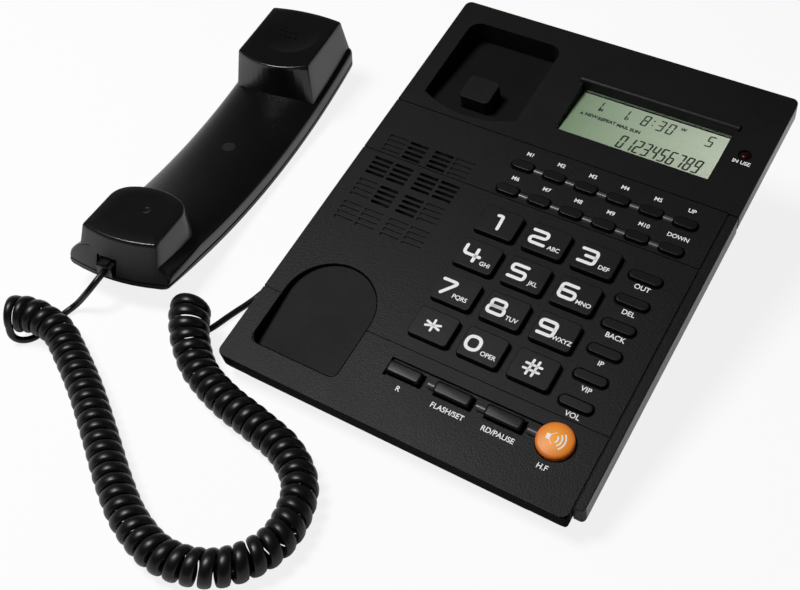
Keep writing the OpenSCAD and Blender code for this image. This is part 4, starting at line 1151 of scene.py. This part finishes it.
def earOutline(h, k):
    # plan of the ear cup, k from its foot to its face
    front, back, half = between(h["earFront"], k), between(h["earBack"], k), between(h["earHalf"], k)
    bowF, bowB = between(h["earBow"], k), between(h["earBackBow"], k)
    run = np.linspace(-1, 1, 13)
    side = np.linspace(front, back, 10)[1:-1]
    points = [(half * u, front - bowF * (1 - u * u)) for u in run] + [(half, y) for y in side]
    points += [(half * u, back + bowB * (1 - u * u)) for u in run[::-1]] + [(-half, y) for y in side[::-1]]
    return roundedLine(points, h["earRound"], True, 4)


def mouthOutline(h, k):
    # plan of the mouth cup: a bowed front, straight sides and a wide round back
    names = ("mouthFront", "mouthHalf", "mouthBow", "mouthBack")
    front, half, bow, back = (between(h[name], k) for name in names)
    down, inner = h["mouthTurn"][0], half - h["mouthTurn"][1]

    def arc(x):
        return back - h["mouthBend"] + np.sqrt(h["mouthBend"] ** 2 - x * x)

    first, corner = np.array([half, arc(half) - down]), np.array([half, arc(half)])
    last = np.array([inner, arc(inner)])
    right = [(half, y) for y in np.linspace(front, first[1], 7)[1:-1]]
    right += [tuple(p) for p in bend(first, corner, last, 8)]
    points = [(half * u, front - bow * (1 - u * u)) for u in np.linspace(-1, 1, 13)] + right
    points += [(x, arc(x)) for x in np.linspace(inner, -inner, 13)[1:-1]] + [(-x, y) for x, y in right[::-1]]
    return roundedLine(points, h["mouthRound"], True, 3)


def inward(outline, amount):
    mid = outline.mean(axis=0)
    ray = outline - mid
    far = np.linalg.norm(ray, axis=1)[:, None]
    return mid + ray * (far - amount) / far


def cupMesh(h, outlineAt, faceZ, dish):
    # walls ring by ring, a rounded edge, then the face with its round hollow
    rings = []
    edge, most = h["cupEdge"], h["cupTop"]
    for k in np.r_[np.linspace(0, 0.9, 10), most]:
        line = outlineAt(h, k)
        foot = archZ(h, line[:, 1], h["footRise"])
        high = foot + (faceZ(line[:, 1]) - edge - foot) * min(k / most, 1)
        rings.append(list(zip(line[:, 0], line[:, 1], high)))
    top = outlineAt(h, 1.0)
    for a in (30, 60, 90):
        line = inward(top, edge * (1 - cos(radians(a))))
        rings.append([(x, y, faceZ(y) - edge * (1 - sin(radians(a)))) for x, y in line])
    cx, cy, radius, deep = dish
    middle = np.array([cx, cy])
    rim = inward(top, edge)
    aim = middle + radius * units(rim - middle)
    for share in (0.35, 0.7, 0.96):
        rings.append([(x, y, faceZ(y)) for x, y in rim + (aim - rim) * share])
    for share in (0.99, 0.95, 0.85, 0.7, 0.5, 0.25, 0.02):
        line = middle + (aim - middle) * share
        rings.append([(x, y, faceZ(y) - deep * (1 - share * share)) for x, y in line])
    verts = [p for ring in rings for p in ring]
    return verts, ringFaces(len(rings), len(top))


def earFaceZ(h):
    first, last = h["earFront"][1], h["earBack"][1]
    return lambda y: between(h["earFace"], (y - first) / (last - first))


def closedMesh(h, name, shape):
    # a shape in the handset's own frame, as a mesh with its faces turned outwards
    verts, faces = shape
    mesh = meshFrom(name, placed(verts), faces)
    cells = bmesh.new()
    cells.from_mesh(mesh)
    bmesh.ops.remove_doubles(cells, verts=cells.verts[:], dist=1e-6)
    bmesh.ops.recalc_face_normals(cells, faces=cells.faces[:])
    if cells.calc_volume(signed=True) < 0:
        bmesh.ops.reverse_faces(cells, faces=cells.faces[:])
    cells.to_mesh(mesh)
    cells.free()
    mesh.shade_smooth()
    mesh.set_sharp_from_angle(angle=radians(h["sharp"]))
    return mesh


def cutBox(mesh, low, high):
    # takes a box of the handset's own frame out of a mesh
    x0, y0, z0 = low
    x1, y1, z1 = high
    corners = [(x, y, z) for z in (z0, z1) for y in (y0, y1) for x in (x0, x1)]
    sides = [(0, 2, 3, 1), (4, 5, 7, 6), (0, 1, 5, 4), (2, 6, 7, 3), (0, 4, 6, 2), (1, 3, 7, 5)]
    cutter = addObject("room", meshFrom("room", placed(corners), sides, False))
    body = addObject("cutBody", mesh)
    cut = body.modifiers.new("room", "BOOLEAN")
    cut.operation = "DIFFERENCE"
    cut.object = cutter
    cut.solver = "EXACT"
    out = asMesh(body)
    bpy.data.objects.remove(cutter)
    return out


def addToHandset(h, name, shape, look="handset_black", cut=False):
    mesh = closedMesh(h, name, shape)
    if cut:
        mesh = cutBox(mesh, *h["room"])
    made = addPiece(name, mesh, look)
    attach(made, "handset")
    return made


def makeHandset(h):
    # the front shell and the mouth cup leave room for the cord's socket
    made = addToHandset(h, "handsetFrontShell", gripShell(h, frontSection(h)), cut=True)
    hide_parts("handset_front")
    mouth = cupMesh(h, mouthOutline, lambda y: h["mouthFace"] + 0 * y, h["mouthMark"])
    addToHandset(h, "handsetMouthCup", mouth, cut=True)
    addToHandset(h, "handsetEarCup", cupMesh(h, earOutline, earFaceZ(h), h["dish"]))
    made = addToHandset(h, "handsetBackShell", gripShell(h, backSection(h)))
    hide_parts("handset_back")


cover = {"y": -1.0, "half": 3.3,
         "rings": [(1.0, -1.0), (1.0, -0.05), (0.97, 0.05), (0.9, 0.1), (0.5, 0.13), (0.05, 0.14)]}


def makeCover(h, c):
    # screw cover in the grip
    turn = circle(40)
    base = archZ(h, c["y"], h["top"])
    verts = []
    for k, z in c["rings"]:
        verts += [(c["half"] * k * cos(a), c["y"] + c["half"] * k * sin(a), base + z) for a in turn]
    addToHandset(h, "screwCover", (verts, ringFaces(len(c["rings"]), len(turn))), "cover_black")


earHoleShade = {"rows": (-1.9, 1.9), "count": 4, "step": 2.9, "from": (-6.8, 0.4), "skew": 0.3, "bow": 0.1,
            "half": 0.6, "sides": 14, "lift": 0.04, "tilt": 4.4}


def makeEarHoles(h, e):
    # sound holes in the ear dish, as flat dark discs: painted shade for their unlit insides
    face = earFaceZ(h)
    holes = Sheet("earHoleShade")
    cx, cy, radius, deep = h["dish"]
    tilt = Matrix.Rotation(radians(e["tilt"]), 4, "X")
    rim = [(e["half"] * cos(a), e["half"] * sin(a)) for a in circle(e["sides"])]
    for row in e["rows"]:
        for i in range(e["count"]):
            x = cx + i * e["step"] + e["from"][0] - row * e["skew"]
            y = cy + e["from"][1] + row + e["bow"] * (i - (e["count"] - 1) / 2) ** 2
            z = face(y) - deep * (1 - ((x - cx) ** 2 + (y - cy) ** 2) / radius ** 2) + e["lift"]
            holes.add(rim, [tuple(range(e["sides"]))], handsetFrame @ shift(x, y, z) @ tilt)
    holes.done("hole_dark", "handset")


makeHandset(handset)
makeCover(handset, cover)
makeEarHoles(handset, earHoleShade)
print("handset made")
